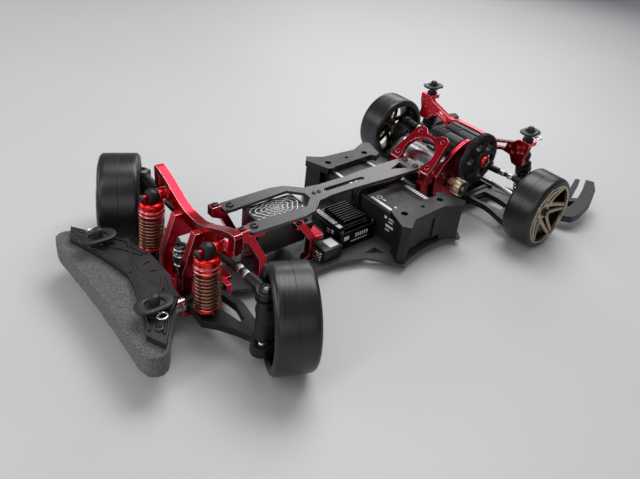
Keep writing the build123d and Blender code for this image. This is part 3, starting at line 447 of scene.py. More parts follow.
def battery_case():
    """Black sleeve with grey panels and white marks on the top and front."""
    shader = Shader("battery_sleeve")
    normal, edge = shader.edge(radius=0.0006)
    x, y, z = shader.axes(shader.coords)
    mm_x = shader.product(shader.minus(x, (BATTERY_X + MID_X) / 1000), 1000.0)
    mm_y, mm_z = shader.product(y, 1000.0), shader.product(z, 1000.0)
    top = shader.above(z, 0.0331)
    front = shader.above(mm_x, 22.75)

    def patches(rows):
        return shader.union(*[shader.product(shader.between(mm_x, x0, x1),
                                             shader.between(mm_y, y0, y1))
                              for x0, x1, y0, y1 in rows])

    grey = patches(BATTERY_GREY)
    solid = patches(BATTERY_SOLID)
    ring_x, ring_y, ring_inner, ring_outer = 13.8, 10.8, 1.5, 2.4
    from_ring = shader.distance(shader.minus(mm_x, ring_x), shader.minus(mm_y, ring_y))
    ring = shader.between(from_ring, ring_inner, ring_outer)
    dashes_per_mm, dash_share = 0.42, 0.70
    dash = shader.below(shader.math("FRACT", shader.product(mm_y, dashes_per_mm)), dash_share)
    dashed = shader.product(patches(BATTERY_DASHED), dash)
    front_marks = shader.union(*[
        shader.product(front, shader.product(shader.between(mm_y, y0, y1),
                                             shader.between(mm_z, z0, z1)))
        for y0, y1, z0, z1 in BATTERY_FRONT])
    top_marks = shader.product(top, shader.union(solid, shader.union(ring, dashed)))
    white = shader.union(front_marks, top_marks)
    cloud = shader.noise(scale=80, detail=3)
    fine = shader.noise(scale=1600, detail=2)
    colour = shader.mix(cloud, (0.012, 0.012, 0.013), (0.022, 0.022, 0.024))
    grey_colour = shader.mix(cloud, (0.055, 0.055, 0.06), (0.085, 0.085, 0.09))
    colour = shader.mix(shader.product(grey, top), colour, grey_colour)
    colour = shader.mix(white, colour, (0.82, 0.82, 0.84))
    colour = shader.edge_wear_and_highlight(colour, edge, amount=0.3, tint=(0.12, 0.12, 0.13))
    shader.surface(Base_Color=colour, Roughness=shader.varied(cloud, low=0.34, high=0.46),
                   Normal=shader.bump(fine, strength=0.05, distance=0.0001, normal=normal),
                   Specular_IOR_Level=0.4)
    return shader.material


MATERIALS = {
    "red_anodised": red_metal("red_anodised", dark=(0.46, 0.002, 0.014),
                              light=(0.66, 0.007, 0.030)),
    "shock_red": red_metal("shock_red", dark=(0.66, 0.010, 0.010), light=(0.86, 0.030, 0.020)),
    "carbon_fibre": carbon(),
    "black_plastic": plastic("black_nylon", dark=(0.0055, 0.0055, 0.006),
                             light=(0.012, 0.012, 0.013), roughness=0.38),
    "grey_plastic": plastic("grey_nylon", dark=(0.014, 0.014, 0.0155),
                            light=(0.026, 0.026, 0.028), roughness=0.40, grain=0.10,
                            edge_wear_and_highlight=(0.11, 0.11, 0.12)),
    "tyre_rubber": tyre_rubber(),
    "bumper_foam": bumper_foam(),
    "rim_bronze": rim_bronze(),
    "rim_barrel": rim_barrel(),
    "steel": metal("steel", dark=(0.40, 0.40, 0.42), light=(0.66, 0.66, 0.68), roughness=0.26,
                   edge_wear_and_highlight=(0.95, 0.95, 0.97), grain=(300, 900, 900)),
    "bright_steel": metal("bright_steel", dark=(0.62, 0.62, 0.64), light=(0.85, 0.85, 0.87),
                          roughness=0.14, edge_wear_and_highlight=(1, 1, 1)),
    "dark_steel": metal("dark_steel", dark=(0.035, 0.035, 0.038), light=(0.09, 0.09, 0.095),
                        roughness=0.26, edge_wear_and_highlight=(0.45, 0.45, 0.47)),
    "brass": metal("brass", dark=(0.50, 0.41, 0.29), light=(0.72, 0.62, 0.46), roughness=0.24,
                   edge_wear_and_highlight=(1.0, 0.93, 0.78)),
    "copper_spring": copper_spring(),
    "servo_case": servo_case(),
    "esc_case": metal("black_anodised", dark=(0.010, 0.010, 0.011), light=(0.030, 0.030, 0.033),
                      roughness=0.30, edge_wear_and_highlight=(0.34, 0.34, 0.36), coat=0.3),
    "battery_case": battery_case(),
    "motor_can": metal("motor_can", dark=(0.16, 0.16, 0.17), light=(0.34, 0.34, 0.36),
                       roughness=0.24, edge_wear_and_highlight=(0.95, 0.95, 0.96), grain=(60, 900, 60)),
    "shock_black": metal("shock_black", dark=(0.010, 0.010, 0.011), light=(0.028, 0.028, 0.030),
                         roughness=0.28, edge_wear_and_highlight=(0.30, 0.30, 0.32), coat=0.3),
    "white_print": plastic("white_print", dark=(0.62, 0.62, 0.64), light=(0.78, 0.78, 0.80),
                           roughness=0.40, grain=0.05, edge_wear_and_highlight=(0.9, 0.9, 0.9)),
    "wire_black": plastic("wire_black", dark=(0.010, 0.010, 0.011), light=(0.018, 0.018, 0.020),
                          roughness=0.36, grain=0.05),
}


# ---------------------------------------------------------------- edges and shading
def smooth_by_angle(degrees):
    """Node group that shades smooth but keeps edges sharper than the angle crisp."""
    group = bpy.data.node_groups.new("smooth_by_angle", "GeometryNodeTree")
    for direction in ("INPUT", "OUTPUT"):
        group.interface.new_socket("Geometry", in_out=direction,
                                   socket_type="NodeSocketGeometry")
    start, end = group.nodes.new("NodeGroupInput"), group.nodes.new("NodeGroupOutput")
    smooth_faces = group.nodes.new("GeometryNodeSetShadeSmooth")
    smooth_faces.domain = "FACE"
    sharp_edges = group.nodes.new("GeometryNodeSetShadeSmooth")
    sharp_edges.domain = "EDGE"
    sharp_edges.inputs["Shade Smooth"].default_value = False
    edge_angle = group.nodes.new("GeometryNodeInputMeshEdgeAngle")
    compare = group.nodes.new("FunctionNodeCompare")
    compare.data_type = "FLOAT"
    compare.operation = "GREATER_THAN"
    compare.inputs[1].default_value = math.radians(degrees)
    group.links.new(start.outputs[0], smooth_faces.inputs[0])
    group.links.new(smooth_faces.outputs[0], sharp_edges.inputs[0])
    group.links.new(edge_angle.outputs[0], compare.inputs[0])
    group.links.new(compare.outputs[0], sharp_edges.inputs["Selection"])
    group.links.new(sharp_edges.outputs[0], end.inputs[0])
    return group


SMOOTH_GROUP = smooth_by_angle(32)


def finish_mesh(item, bevel=0.0, segments=2, cad=False):
    """Add the shading modifiers, and a bevel (mm) where one is given."""
    if cad:
        # the faces of a CAD piece share no points until the weld joins them
        weld = item.modifiers.new("weld", "WELD")
        weld.merge_threshold = 0.000001
        planar = item.modifiers.new("planar", "DECIMATE")
        planar.decimate_type = "DISSOLVE"
        planar.angle_limit = math.radians(0.6)
    if bevel:
        edge = item.modifiers.new("edge", "BEVEL")
        edge.width = bevel / 1000
        edge.segments = segments
        edge.limit_method = "ANGLE"
        edge.angle_limit = math.radians(38)
        edge.miter_outer = "MITER_ARC"
        edge.use_clamp_overlap = True
    item.modifiers.new("smooth", "NODES").node_group = SMOOTH_GROUP
    if cad and bevel:
        item.modifiers.new("weighted", "WEIGHTED_NORMAL").keep_sharp = True


# ---------------------------------------------------------------- CAD pieces
PLAIN_EDGE = 0.28
UNBEVELLED = {"spur_gear", "pinion_gear", "idler_gear", "diff_gear", "springs"}
EDGE_WIDTHS = {                       # pieces with a rounder edge, mm
    "battery_holders": 1.1, "bumper_bracket": 0.6, "rear_bumper": 1.0, "front_shock_tower": 0.5,
    "servo_mounts": 0.4, "motor_brace": 0.4, "rear_shock_tower": 0.4, "front_bulkhead": 0.5,
    "esc": 0.4, "servo": 0.5, "gearbox_case": 0.5,
    "front_lower_arm_left": 0.7, "front_lower_arm_right": 0.7,
    "rear_lower_arm_left": 0.7, "rear_lower_arm_right": 0.7,
    "front_upper_link_left": 0.5, "front_upper_link_right": 0.5,
}


def dress_cad_pieces():
    slot_of_node = {part["node"]: part["material_slot"] for part in frame["record"]["subparts"]}
    for name, item in frame["nodes"].items():
        item.data.materials.clear()
        item.data.materials.append(MATERIALS[slot_of_node[name]])
        bevel = 0.0 if name in UNBEVELLED else EDGE_WIDTHS.get(name, PLAIN_EDGE)
        finish_mesh(item, bevel, segments=3 if name in EDGE_WIDTHS else 2, cad=True)


dress_cad_pieces()


def piece(name, data, material, body="chassis", matrix=None, bevel=0.0, by_angle=True):
    """Make an object that rides on a body; bevel in mm."""
    points, faces = data
    mesh = bpy.data.meshes.new(name)
    mesh.from_pydata([tuple(point) for point in points], [], faces)
    mesh.validate()
    work = bmesh.new()
    work.from_mesh(mesh)
    bmesh.ops.remove_doubles(work, verts=work.verts, dist=1e-7)
    bmesh.ops.recalc_face_normals(work, faces=work.faces)
    work.to_mesh(mesh)
    work.free()
    item = bpy.data.objects.new(name, mesh)
    bpy.context.scene.collection.objects.link(item)
    mesh.materials.append(MATERIALS[material])
    if matrix is not None:
        item.matrix_world = matrix
    if by_angle:
        finish_mesh(item, bevel)
    else:
        for polygon in mesh.polygons:
            polygon.use_smooth = True
    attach(item, body)
    return item


def axis_matrix(point, axis, aside=UP):
    """Matrix at point with local Y along axis and local Z as near aside as possible."""
    axis = Vector(axis).normalized()
    aside = Vector(aside)
    if abs(axis.dot(aside)) > 0.98:
        aside = Vector(FORWARD)
    across = axis.cross(aside).normalized()
    aside = across.cross(axis).normalized()
    matrix = Matrix((across, axis, aside)).transposed().to_4x4()
    matrix.translation = point
    return matrix


def skin(rows, count, closed=False):
    """Side faces between rows of count points each; closed joins the last row to the first."""
    faces = []
    for row in range(rows if closed else rows - 1):
        here, there = row * count, (row + 1) % rows * count
        for k in range(count):
            after = (k + 1) % count
            faces.append((here + k, here + after, there + after, there + k))
    return faces


def caps(rows, count):
    last = (rows - 1) * count
    return [tuple(range(count - 1, -1, -1)), tuple(range(last, last + count))]


def circle(count):
    """Cosine and sine of each of count equal steps round a circle."""
    angles = [2 * math.pi * k / count for k in range(count)]
    return [(math.cos(angle), math.sin(angle)) for angle in angles]


def lathe_data(profile, count=64, closed=False):
    """Revolve (radius, y) points in mm about local Y; a radius of 0 is a pole."""
    points, faces, rings = [], [], []
    for radius, y in profile:
        start = len(points)
        if radius < 1e-6:
            points.append((0, y / 1000, 0))
        else:
            points += [(radius * c / 1000, y / 1000, radius * s / 1000) for c, s in circle(count)]
        rings.append(list(range(start, len(points))))
    pairs = list(zip(rings, rings[1:]))
    if closed:
        pairs.append((rings[-1], rings[0]))
    for near, far in pairs:
        for k in range(count):
            after = (k + 1) % count
            if len(near) == 1:
                faces.append((near[0], far[k], far[after]))
            elif len(far) == 1:
                faces.append((near[k], far[0], near[after]))
            else:
                faces.append((near[k], far[k], far[after], near[after]))
    return points, faces


def lathe(name, profile, matrix, material, body="chassis", count=64, closed=False, bevel=0.0):
    return piece(name, lathe_data(profile, count, closed), material, body, matrix, bevel)


def tube(name, path, radius, material, count):
    """Round bar along a path of points in metres; radius in mm."""
    points, up = [], None
    for i, point in enumerate(path):
        tangent = (path[min(i + 1, len(path) - 1)] - path[max(i - 1, 0)]).normalized()
        if up is None:
            up = Vector(UP) if abs(tangent.z) < 0.9 else Vector(FORWARD)
        across = tangent.cross(up).normalized()
        up = across.cross(tangent).normalized()
        points += [point + (across * c + up * s) * (radius / 1000) for c, s in circle(count)]
    faces = skin(len(path), count) + caps(len(path), count)
    return piece(name, (points, faces), material)


def smooth_path(knots, steps=8):
    """Catmull-Rom curve through the knots."""
    knots = [knots[0] * 2 - knots[1]] + knots + [knots[-1] * 2 - knots[-2]]
    path = []
    for a, b, c, d in zip(knots, knots[1:], knots[2:], knots[3:]):
        for k in range(steps):
            t = k / steps
            path.append(0.5 * ((2 * b) + (c - a) * t + (2 * a - 5 * b + 4 * c - d) * t * t
                               + (3 * b - a - 3 * c + d) * t ** 3))
    path.append(knots[-2])
    return path


def prism_data(outline, z0, z1):
    points = [(x / 1000, y / 1000, z / 1000) for z in (z0, z1) for x, y in outline]
    return points, caps(2, len(outline)) + skin(2, len(outline))


def join_data(parts):
    points, faces = [], []
    for part_points, part_faces in parts:
        offset = len(points)
        points += [Vector(point) for point in part_points]
        faces += [tuple(i + offset for i in face) for face in part_faces]
    return points, faces


# ---------------------------------------------------------------- wheels
# wheel profiles, (radius, y) with +Y outwards
TYRE_HALF = [
    (26.45, 11.9), (26.9, 12.45), (27.5, 12.5), (27.7, 12.36), (27.9, 12.5), (28.3, 12.5),
    (28.5, 12.36), (28.7, 12.5), (29.2, 12.44), (29.4, 12.28), (29.6, 12.32), (30.2, 11.9),
    (30.9, 11.25), (31.3, 10.6), (31.46, 9.6), (31.5, 8.0), (31.5, 4.0), (31.5, 0.28),
    (31.36, 0.1)]
TYRE = TYRE_HALF + [(radius, -y) for radius, y in reversed(TYRE_HALF)]
RIM_BARREL = [
    (26.42, 11.4), (26.42, 12.3), (26.9, 12.75), (26.6, 13.1), (25.6, 13.15), (25.1, 12.7),
    (24.9, 11.4), (24.7, 9.0), (24.4, 6.5), (24.4, 2.0), (24.9, -2.0), (25.0, -10.4),
    (25.3, -11.4), (25.8, -11.9), (26.42, -11.8), (26.42, -9.0), (26.05, -8.2), (26.05, 8.2),
    (26.42, 9.0)]
RIM_HUB = [(0, 7.0), (3.2, 7.0), (3.6, 7.3), (7.4, 7.3), (7.9, 6.8), (8.0, 1.5), (6.0, 1.5),
           (0, 1.5)]
WHEEL_NUT = [(0, 10.4), (2.6, 10.4), (2.9, 10.1), (3.1, 9.6), (3.1, 8.0), (4.6, 7.9),
             (4.6, 7.3), (0, 7.3)]
STUB_AXLE = [(0, 2.5), (2.45, 2.5), (2.45, -8.0), (6.6, -8.0), (6.6, -10.4), (6.0, -10.6),
             (6.0, -20.6), (4.9, -20.6), (4.9, -12.4), (0, -12.4)]


def spoke_bar(start, end, half_widths, heights, thickness):
    """Bar from start to end (x, z); width and face height y change along it."""
    (x1, z1), (x2, z2) = start, end
    run_x, run_z = x2 - x1, z2 - z1
    length = math.hypot(run_x, run_z)
    side_x, side_z = -run_z / length, run_x / length
    # section: share of the half width, depth below the face
    section = [(1, 0.5), (0.45, 0), (-0.45, 0), (-1, 0.5), (-0.8, thickness), (0.8, thickness)]
    stations = (0, 0.25, 0.5, 0.75, 1.0)
    points = []
    for t in stations:
        width = half_widths[0] + (half_widths[1] - half_widths[0]) * t
        height = heights[0] + (heights[1] - heights[0]) * t ** 1.5
        for share, depth in section:
            points.append(((x1 + run_x * t + side_x * width * share) / 1000,
                           (height - depth) / 1000,
                           (z1 + run_z * t + side_z * width * share) / 1000))
    rows, count = len(stations), len(section)
    return points, caps(rows, count) + skin(rows, count)


def rim_spokes():
    """Six Y spokes: a stem from the hub that splits towards the lip, dished to the hub."""
    parts = []
    for k in range(6):
        def polar(radius, offset=0.0):
            angle = math.radians(60 * k + 30 + offset)
            return radius * math.cos(angle), radius * math.sin(angle)

        parts.append(spoke_bar(polar(5.0), polar(11.5), half_widths=(3.4, 2.8),
                               heights=(6.4, 7.6), thickness=3.6))
        for turn in (-1, 1):
            parts.append(spoke_bar(polar(9.6, 5.0 * turn), polar(25.0, 25.5 * turn),
                                   half_widths=(2.25, 1.8), heights=(7.2, 12.2), thickness=3.8))
    parts.append(lathe_data(RIM_HUB, 36))
    return join_data(parts)


def wheel(end, side, centre, axis, spokes):
    corner = f"{end}_{side}"
    body = f"{end}_wheel_{side}"
    matrix = axis_matrix(centre, axis)
    tyre = lathe("tyre_" + corner, TYRE, matrix, "tyre_rubber", body, 128, closed=True)
    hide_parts(f"{end}_tyre_{side}")
    rim = lathe("rim_barrel_" + corner, RIM_BARREL, matrix, "rim_barrel", body, 96, closed=True)
    if end == "rear":
        lathe("stub_axle_" + corner, STUB_AXLE, matrix, "steel", body, 40)
    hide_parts(f"{end}_rim_{side}")
    piece("rim_spokes_" + corner, spokes, "rim_bronze", body, matrix, bevel=0.3)
    lathe("wheel_nut_" + corner, WHEEL_NUT, matrix, "dark_steel", body, 6, bevel=0.2)


def wheels():
    spokes = rim_spokes()
    for side, sign in SIDES:
        axis = (-math.sin(STEER) * sign, math.cos(STEER) * sign, 0)
        centre = place(AXLE_X + KINGPIN_TO_WHEEL * axis[0],
                       sign * KINGPIN_Y + KINGPIN_TO_WHEEL * axis[1], WHEEL_RADIUS)
        wheel("front", side, centre, axis, spokes)
        wheel("rear", side, place(-AXLE_X, sign * REAR_WHEEL_Y, WHEEL_RADIUS), (0, sign, 0),
              spokes)


wheels()

# ---------------------------------------------------------------- foam bumper
# left half of the plan outline, (x, y), from the front middle round to the back middle
FOAM_HALF = [
    (188.6, 0), (188.9, 15), (189.2, 30), (189.7, 42), (190.0, 52), (189.6, 58), (188.2, 62),
    (185.4, 64.4), (181.8, 64.8), (178.6, 63.2), (175.8, 59.4), (173.0, 54), (169.6, 48.2),
    (165.6, 42.6), (161.6, 37.4), (158.4, 32.2), (157.0, 26), (156.6, 18), (156.4, 8),
    (156.4, 0)]
FOAM_OUTLINE = FOAM_HALF + [(x, -y) for x, y in reversed(FOAM_HALF[1:-1])]
FOAM_MIDDLE_Z, FOAM_HALF_HEIGHT = 21.4, 6.9
# layers from bottom to top: share of the half height, inset from the outline
FOAM_LAYERS = [
    (-1.0, 3.0), (-1.0, 0.75), (-0.985, 0.28), (-0.95, 0.05), (-0.85, 0.0), (-0.4, -0.03),
    (0, -0.04), (0.4, -0.03), (0.85, 0.0), (0.95, 0.05), (0.985, 0.28), (1.0, 0.75), (1.0, 3.0)]


def resample(outline, count):
    """Points at even distances round a closed outline."""
    corners = [Vector(corner) for corner in outline]
    following = corners[1:] + corners[:1]
    reached = [0]
    for here, there in zip(corners, following):
        reached.append(reached[-1] + (there - here).length)
    points, j = [], 0
    for k in range(count):
        distance = reached[-1] * k / count
        while reached[j + 1] < distance:
            j += 1
        t = (distance - reached[j]) / (reached[j + 1] - reached[j])
        points.append(corners[j].lerp(following[j], t))
    return points


def inset(loop, amount):
    """Move each point of an anticlockwise loop inwards along its local normal."""
    moved = []
    for i, point in enumerate(loop):
        tangent = (loop[(i + 2) % len(loop)] - loop[i - 2]).normalized()
        moved.append(point + Vector((-tangent.y, tangent.x)) * amount)
    return moved


def foam_bumper():
    """Rounded block, slightly uneven all over, with a wavy front face."""
    loop = resample(FOAM_OUTLINE, 220)
    front_from_x = 170
    points = []
    for share, inwards in FOAM_LAYERS:
        for x, y in inset(loop, inwards):
            wave = 0.10 * math.sin(y * 0.31 + share * 2.2) + 0.07 * math.sin(y * 0.83 + 1.3)
            lift = 0.06 * math.sin(y * 0.2 + x * 0.13)
            points.append(place(x + (wave if x > front_from_x else 0), y,
                                FOAM_MIDDLE_Z + FOAM_HALF_HEIGHT * share + lift))
    rows, count = len(FOAM_LAYERS), len(loop)
    foam = piece("foam_bumper", (points, skin(rows, count) + caps(rows, count)), "bumper_foam")
    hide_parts("bumper_foam")


foam_bumper()


# ---------------------------------------------------------------- springs
def shock_line(end, sign):
    """Top pivot, direction down the shock, and distance between the pivots in mm."""
    (x0, y0, z0), (x1, y1, z1) = SHOCKS[end]["top"], SHOCKS[end]["bottom"]
    top, bottom = place(x0, sign * y0, z0), place(x1, sign * y1, z1)
    return top, (bottom - top).normalized(), (bottom - top).length * 1000


def coil(end, side, sign, radius, wire, turns, start, end_at, keep):
    """Coil spring with flattened end turns."""
    end_share, end_rise = 0.09, 0.035      # part of the turns, part of the length, at each end
    top, along, _ = shock_line(end, sign)
    across = along.cross(Vector(LEFT)).normalized()
    other = along.cross(across).normalized()
    steps, count = int(turns * 28), 10
    path = []
    for k in range(steps + 1):
        u = k / steps
        if u < end_share:
            share = end_rise * (u / end_share)
        elif u > 1 - end_share:
            share = 1 - end_rise * ((1 - u) / end_share)
        else:
            share = end_rise + (1 - 2 * end_rise) * (u - end_share) / (1 - 2 * end_share)
        down = start + (end_at - start) * share
        angle = 2 * math.pi * turns * u
        path.append(top + along * (down / 1000)
                    + (across * math.cos(angle) + other * math.sin(angle)) * (radius / 1000))
    points = []
    for i, point in enumerate(path):
        tangent = (path[min(i + 1, steps)] - path[max(i - 1, 0)]).normalized()
        centre = top + along * ((point - top).dot(along))
        outwards = (point - centre).normalized()
        up = tangent.cross(outwards).normalized()
        points += [point + (outwards * c + up * s) * (wire / 1000) for c, s in circle(count)]
    faces = skin(len(path), count) + caps(len(path), count)
    spring = piece(f"{end}_spring_{side}", (points, faces), "copper_spring", by_angle=False)
    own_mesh(spring)
    return spring


def springs():
    made = {}
    for side, sign in SIDES:
        for end in ("front", "rear"):
            size = dict(SHOCKS[end]["spring"])
            size["end_at"] = size.pop("end")
            made[end, side] = coil(end, side, sign, **size)
        made["rear", side].data.materials[0] = MATERIALS["dark_steel"]
    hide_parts("springs")


springs()


# ---------------------------------------------------------------- screws
def screw_head(radius, height):
    """Button head with a hexagon socket, local Y outwards."""
    count = 24
    # share of the radius, share of the height, whether the ring is a hexagon
    rows = [(0.97, 0, False), (1, 0.12, False), (0.96, 0.45, False), (0.82, 0.8, False),
            (0.62, 1, False), (0.5, 1, True), (0.47, 0.35, True)]
    points = []
    for share, rise, hexagon in rows:
        for k, (c, s) in enumerate(circle(count)):
            reach = radius * share
            if hexagon:
                from_flat = math.radians((360 * k / count) % 60 - 30)
                reach *= math.cos(math.radians(30)) / math.cos(from_flat)
            points.append((reach * c / 1000, height * rise / 1000, reach * s / 1000))
    base, socket_floor = caps(len(rows), count)
    return points, skin(len(rows), count) + [base[::-1], socket_floor]


def screws(name, *groups):
    """Each group is a list of places, an axis, a head radius and a head height."""
    parts = []
    for places, axis, radius, height in groups:
        for spot in places:
            matrix = axis_matrix(place(*spot), axis)
            points, faces = screw_head(radius, height)
            parts.append(([matrix @ Vector(point) for point in points], faces))
    return piece(name, join_data(parts), "dark_steel")


def both(x, y, z):
    return [(x, y, z), (x, -y, z)]


def around(x, y, z, radius, angles):
    """Places round a centre in the XZ plane, angles in degrees."""
    return [(x + radius * math.cos(math.radians(angle)), y,
             z + radius * math.sin(math.radians(angle))) for angle in angles]


deck = screws("deck_screws",
              (both(97.5, 14.3, DECK_TOP) + both(-61.1, 6.1, DECK_TOP), UP, 2.7, 1.5),
              ([(39, 0, DECK_TOP), (34.5, 0, DECK_TOP)], UP, 1.6, 0.9))
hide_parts("fasteners")
screws("bracket_screws", (both(176.6, 50.4, 32.4), UP, 2.6, 1.4))
screws("servo_bracket_screws",
       (both(107.4, 16.2, 50.4) + both(63.2, 16.2, 40.4), UP, 2.3, 1.3),
       ([(x, y, 28.6) for y in (1.2, -9.4) for x in (92.4, 45.6)], UP, 2.2, 1.3))
screws("tower_screws",
       (both(146.6, *SHOCKS["front"]["top"][1:]), FORWARD, 2.9, 1.6),
       (both(132.4, 12.0, 54.2), FORWARD, 2.3, 1.3),
       (both(-134.8, 12.0, 60.0), FORWARD, 2.4, 1.3),
       (both(-152.6, *SHOCKS["rear"]["top"][1:]), BACKWARD, 2.9, 1.6),
       (both(-134.8, 24, 61.2), FORWARD, 1.9, 1.0))
screws("motor_screws", (around(MOTOR_X, 21.8, MOTOR_Z, 12.5, (40, 220)), LEFT, 2.5, 1.6))
case_left = around(-AXLE_X, 15.0, WHEEL_RADIUS, 18.4, (200, 250, 330)) + [(-126.0, 15.0, 60.5)]
screws("case_screws", (case_left, LEFT, 2.2, 1.3),
       ([(x, -y, z) for x, y, z in case_left], RIGHT, 2.2, 1.3))
screws("brace_feet_screws", ([(-63.5, 20.6, 10.4)], LEFT, 2.0, 1.2),
       ([(-63.5, -20.6, 10.4)], RIGHT, 2.0, 1.2))
UNDERSIDE = [(93, 17), (51.5, 17), (-5, 54.5), (-63.5, 55.5), (-68, 17), (-92, 24), (126, 12),
             (142, 12), (-140, 24)]   # x, y of the left ones
screws("underside_screws",
       ([(x, sign * y, 5.35) for _, sign in SIDES for x, y in UNDERSIDE], DOWN, 2.7, 0.75))

# ---------------------------------------------------------------- centre post, hinge barrels
POST_X = 138.8
CENTRE_POST = [
    (0, 9.0), (3.0, 9.0), (3.0, 24), (4.4, 24.4), (4.4, 27.6), (3.8, 28), (3.8, 31), (4.8, 31.3),
    (4.8, 34.6), (4.2, 35.0), (3.4, 35.2), (3.4, 36.6), (4.6, 36.9), (4.6, 38.8), (4.2, 39.2),
    (0, 39.2)]
FRONT_BARREL = [
    (0, 0), (4.4, 0), (4.7, 0.4), (4.7, 2.0), (4.4, 2.2), (4.4, 2.8), (4.7, 3.0), (4.7, 6.6),
    (4.3, 7.2), (2.3, 7.2), (2.2, 4.8), (0, 4.8)]
REAR_BARREL = [(0, 0), (3.0, 0), (3.2, 0.3), (3.2, 2.4), (2.9, 2.8), (1.6, 2.8), (1.5, 1.6),
               (0, 1.6)]

lathe("centre_post", CENTRE_POST, axis_matrix(place(POST_X, 0, 0), UP), "steel", count=48)
screws("centre_post_cap", ([(POST_X, 0, 39.1)], UP, 4.0, 1.9))
for side, sign in SIDES:
    lathe("hinge_barrel_front_" + side, FRONT_BARREL,
          axis_matrix(place(147.6, sign * 20, 14), FORWARD), "bright_steel", count=40)
    lathe("hinge_barrel_rear_" + side, REAR_BARREL,
          axis_matrix(place(-151.2, sign * 24, 12), BACKWARD), "steel", count=36)

# ---------------------------------------------------------------- shocks
# profiles are (radius, distance down from the top pivot)
SHOCK_EYE = [(2.1, -3.1), (3.4, -3.2), (4.4, -2.6), (4.9, -1.4), (5.0, 0), (4.9, 1.4),
             (4.4, 2.6), (3.4, 3.2), (2.1, 3.1)]
SHOCK_NECK = [(0, 2.0), (3.7, 2.1), (3.9, 2.5), (3.7, 3.2), (0, 3.2)]
SHOCK_PARTS = {
    "front": dict(
        material="shock_red", count=64, shaft=(31.6, 35.4),
        cylinder=[
            (0, 2.8), (3.4, 2.8), (4.8, 3.0), (6.3, 3.4), (7.2, 4.2), (7.5, 5.2), (7.5, 7.2),
            (7.2, 7.6), (6.9, 7.7), (6.9, 8.2), (7.2, 8.3), (7.7, 8.6), (7.9, 9.1), (7.9, 10.4),
            (7.7, 10.7), (7.4, 10.8), (7.4, 11.2), (7.7, 11.3), (7.9, 11.6), (7.9, 12.9),
            (7.6, 13.4), (5.4, 13.6), (5.1, 14.1), (5.1, 30.6), (4.7, 31.0), (2.0, 31.0),
            (2.0, 19.0), (0, 19.0)],
        cup=[
            (0, 34.9), (4.6, 34.9), (5.0, 35.2), (5.2, 36.0), (7.0, 36.2), (7.6, 36.7),
            (7.7, 37.4), (7.6, 38.6), (7.1, 39.2), (6.2, 39.5), (4.4, 40.2), (3.6, 40.9),
            (0, 40.9)],
        foot=[(0, 40.5), (3.2, 40.7), (3.35, 41.6), (3.1, 42.6)]),
    "rear": dict(
        material="shock_black", count=56, shaft=(29.4, 34.4),
        cylinder=[
            (0, 3.6), (3.2, 3.6), (4.8, 4.2), (5.9, 4.9), (6.5, 6.0), (6.5, 8.6), (6.1, 8.9),
            (6.1, 9.5), (6.9, 9.8), (7.0, 10.2), (7.0, 12.0), (6.7, 12.6), (5.2, 12.8),
            (4.8, 13.2), (4.8, 28.6), (4.4, 29.0), (2.0, 29.0), (2.0, 17.0), (0, 17.0)],
        cup=[
            (0, 34.0), (4.4, 34.0), (4.8, 34.3), (5.0, 35.0), (6.8, 35.2), (7.2, 35.7),
            (7.2, 37.4), (6.8, 38.0), (4.6, 38.6), (3.4, 39.4), (0, 39.4)],
        foot=[(0, 39.0), (3.1, 39.2), (3.2, 40.2), (3.0, 41.2)]),
}


def shock(end, side, sign, material, count, shaft, cylinder, cup, foot):
    top, along, length = shock_line(end, sign)
    matrix = axis_matrix(top, along)
    body, rod = f"{end}_shock_body_{side}", f"{end}_shock_rod_{side}"
    tube_body = lathe(f"{end}_shock_cylinder_{side}", cylinder, matrix, material, body, count)
    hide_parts(body)
    lathe(f"{end}_shock_eye_{side}", SHOCK_EYE, axis_matrix(top, FORWARD), "black_plastic", body,
          40, closed=True)
    if end == "front":
        lathe(f"{end}_shock_neck_{side}", SHOCK_NECK, matrix, "black_plastic", body, 40)
    spring_cup = lathe(f"{end}_spring_cup_{side}", cup, matrix, material, rod, count)
    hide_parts(rod)
    shaft_profile = [(0, shaft[0]), (1.5, shaft[0]), (1.5, shaft[1]), (0, shaft[1])]
    lathe(f"{end}_shock_shaft_{side}", shaft_profile, matrix, "bright_steel", rod, 24)
    foot_tip = [(3.2, length), (2.9, length + 1.5), (2.1, length + 2.5), (0, length + 3.0)]
    lathe(f"{end}_shock_foot_{side}", foot + foot_tip, matrix, "black_plastic", rod, 32)


for side, sign in SIDES:
    for end, parts in SHOCK_PARTS.items():
        shock(end, side, sign, **parts)

# ---------------------------------------------------------------- body posts
# section of the oval pad: radius of its round ends, height above its underside
PAD_SECTION = [(6.4, 0.0), (6.7, 0.35), (6.75, 1.0), (6.5, 1.6), (5.9, 1.9), (3.9, 1.9),
               (3.55, 1.75), (3.35, 1.4), (3.35, 0.2), (3.55, 0.0)]
PAD_OUTER_REACH, PAD_SLOT_REACH = 3.9, 1.9     # half length of the straight sides
PAD_SLOT_RADIUS = 4                            # rings no larger than this line the slot


def stadium(x, y, reach, radius, steps=14):
    """Outline of a slot shape, long in X."""
    outline = []
    for start, shift in ((-math.pi / 2, reach), (math.pi / 2, -reach)):
        for k in range(steps + 1):
            angle = start + math.pi * k / steps
            outline.append((x + shift + radius * math.cos(angle), y + radius * math.sin(angle)))
    return outline


def pad_data(x, y, z):
    """Oval ring with its underside at z."""
    points = []
    for radius, rise in PAD_SECTION:
        reach = PAD_OUTER_REACH if radius > PAD_SLOT_RADIUS else PAD_SLOT_REACH
        outline = stadium(x, y, reach, radius)
        points += [place(px, py, z + rise) for px, py in outline]
    return points, skin(len(PAD_SECTION), len(outline), closed=True)


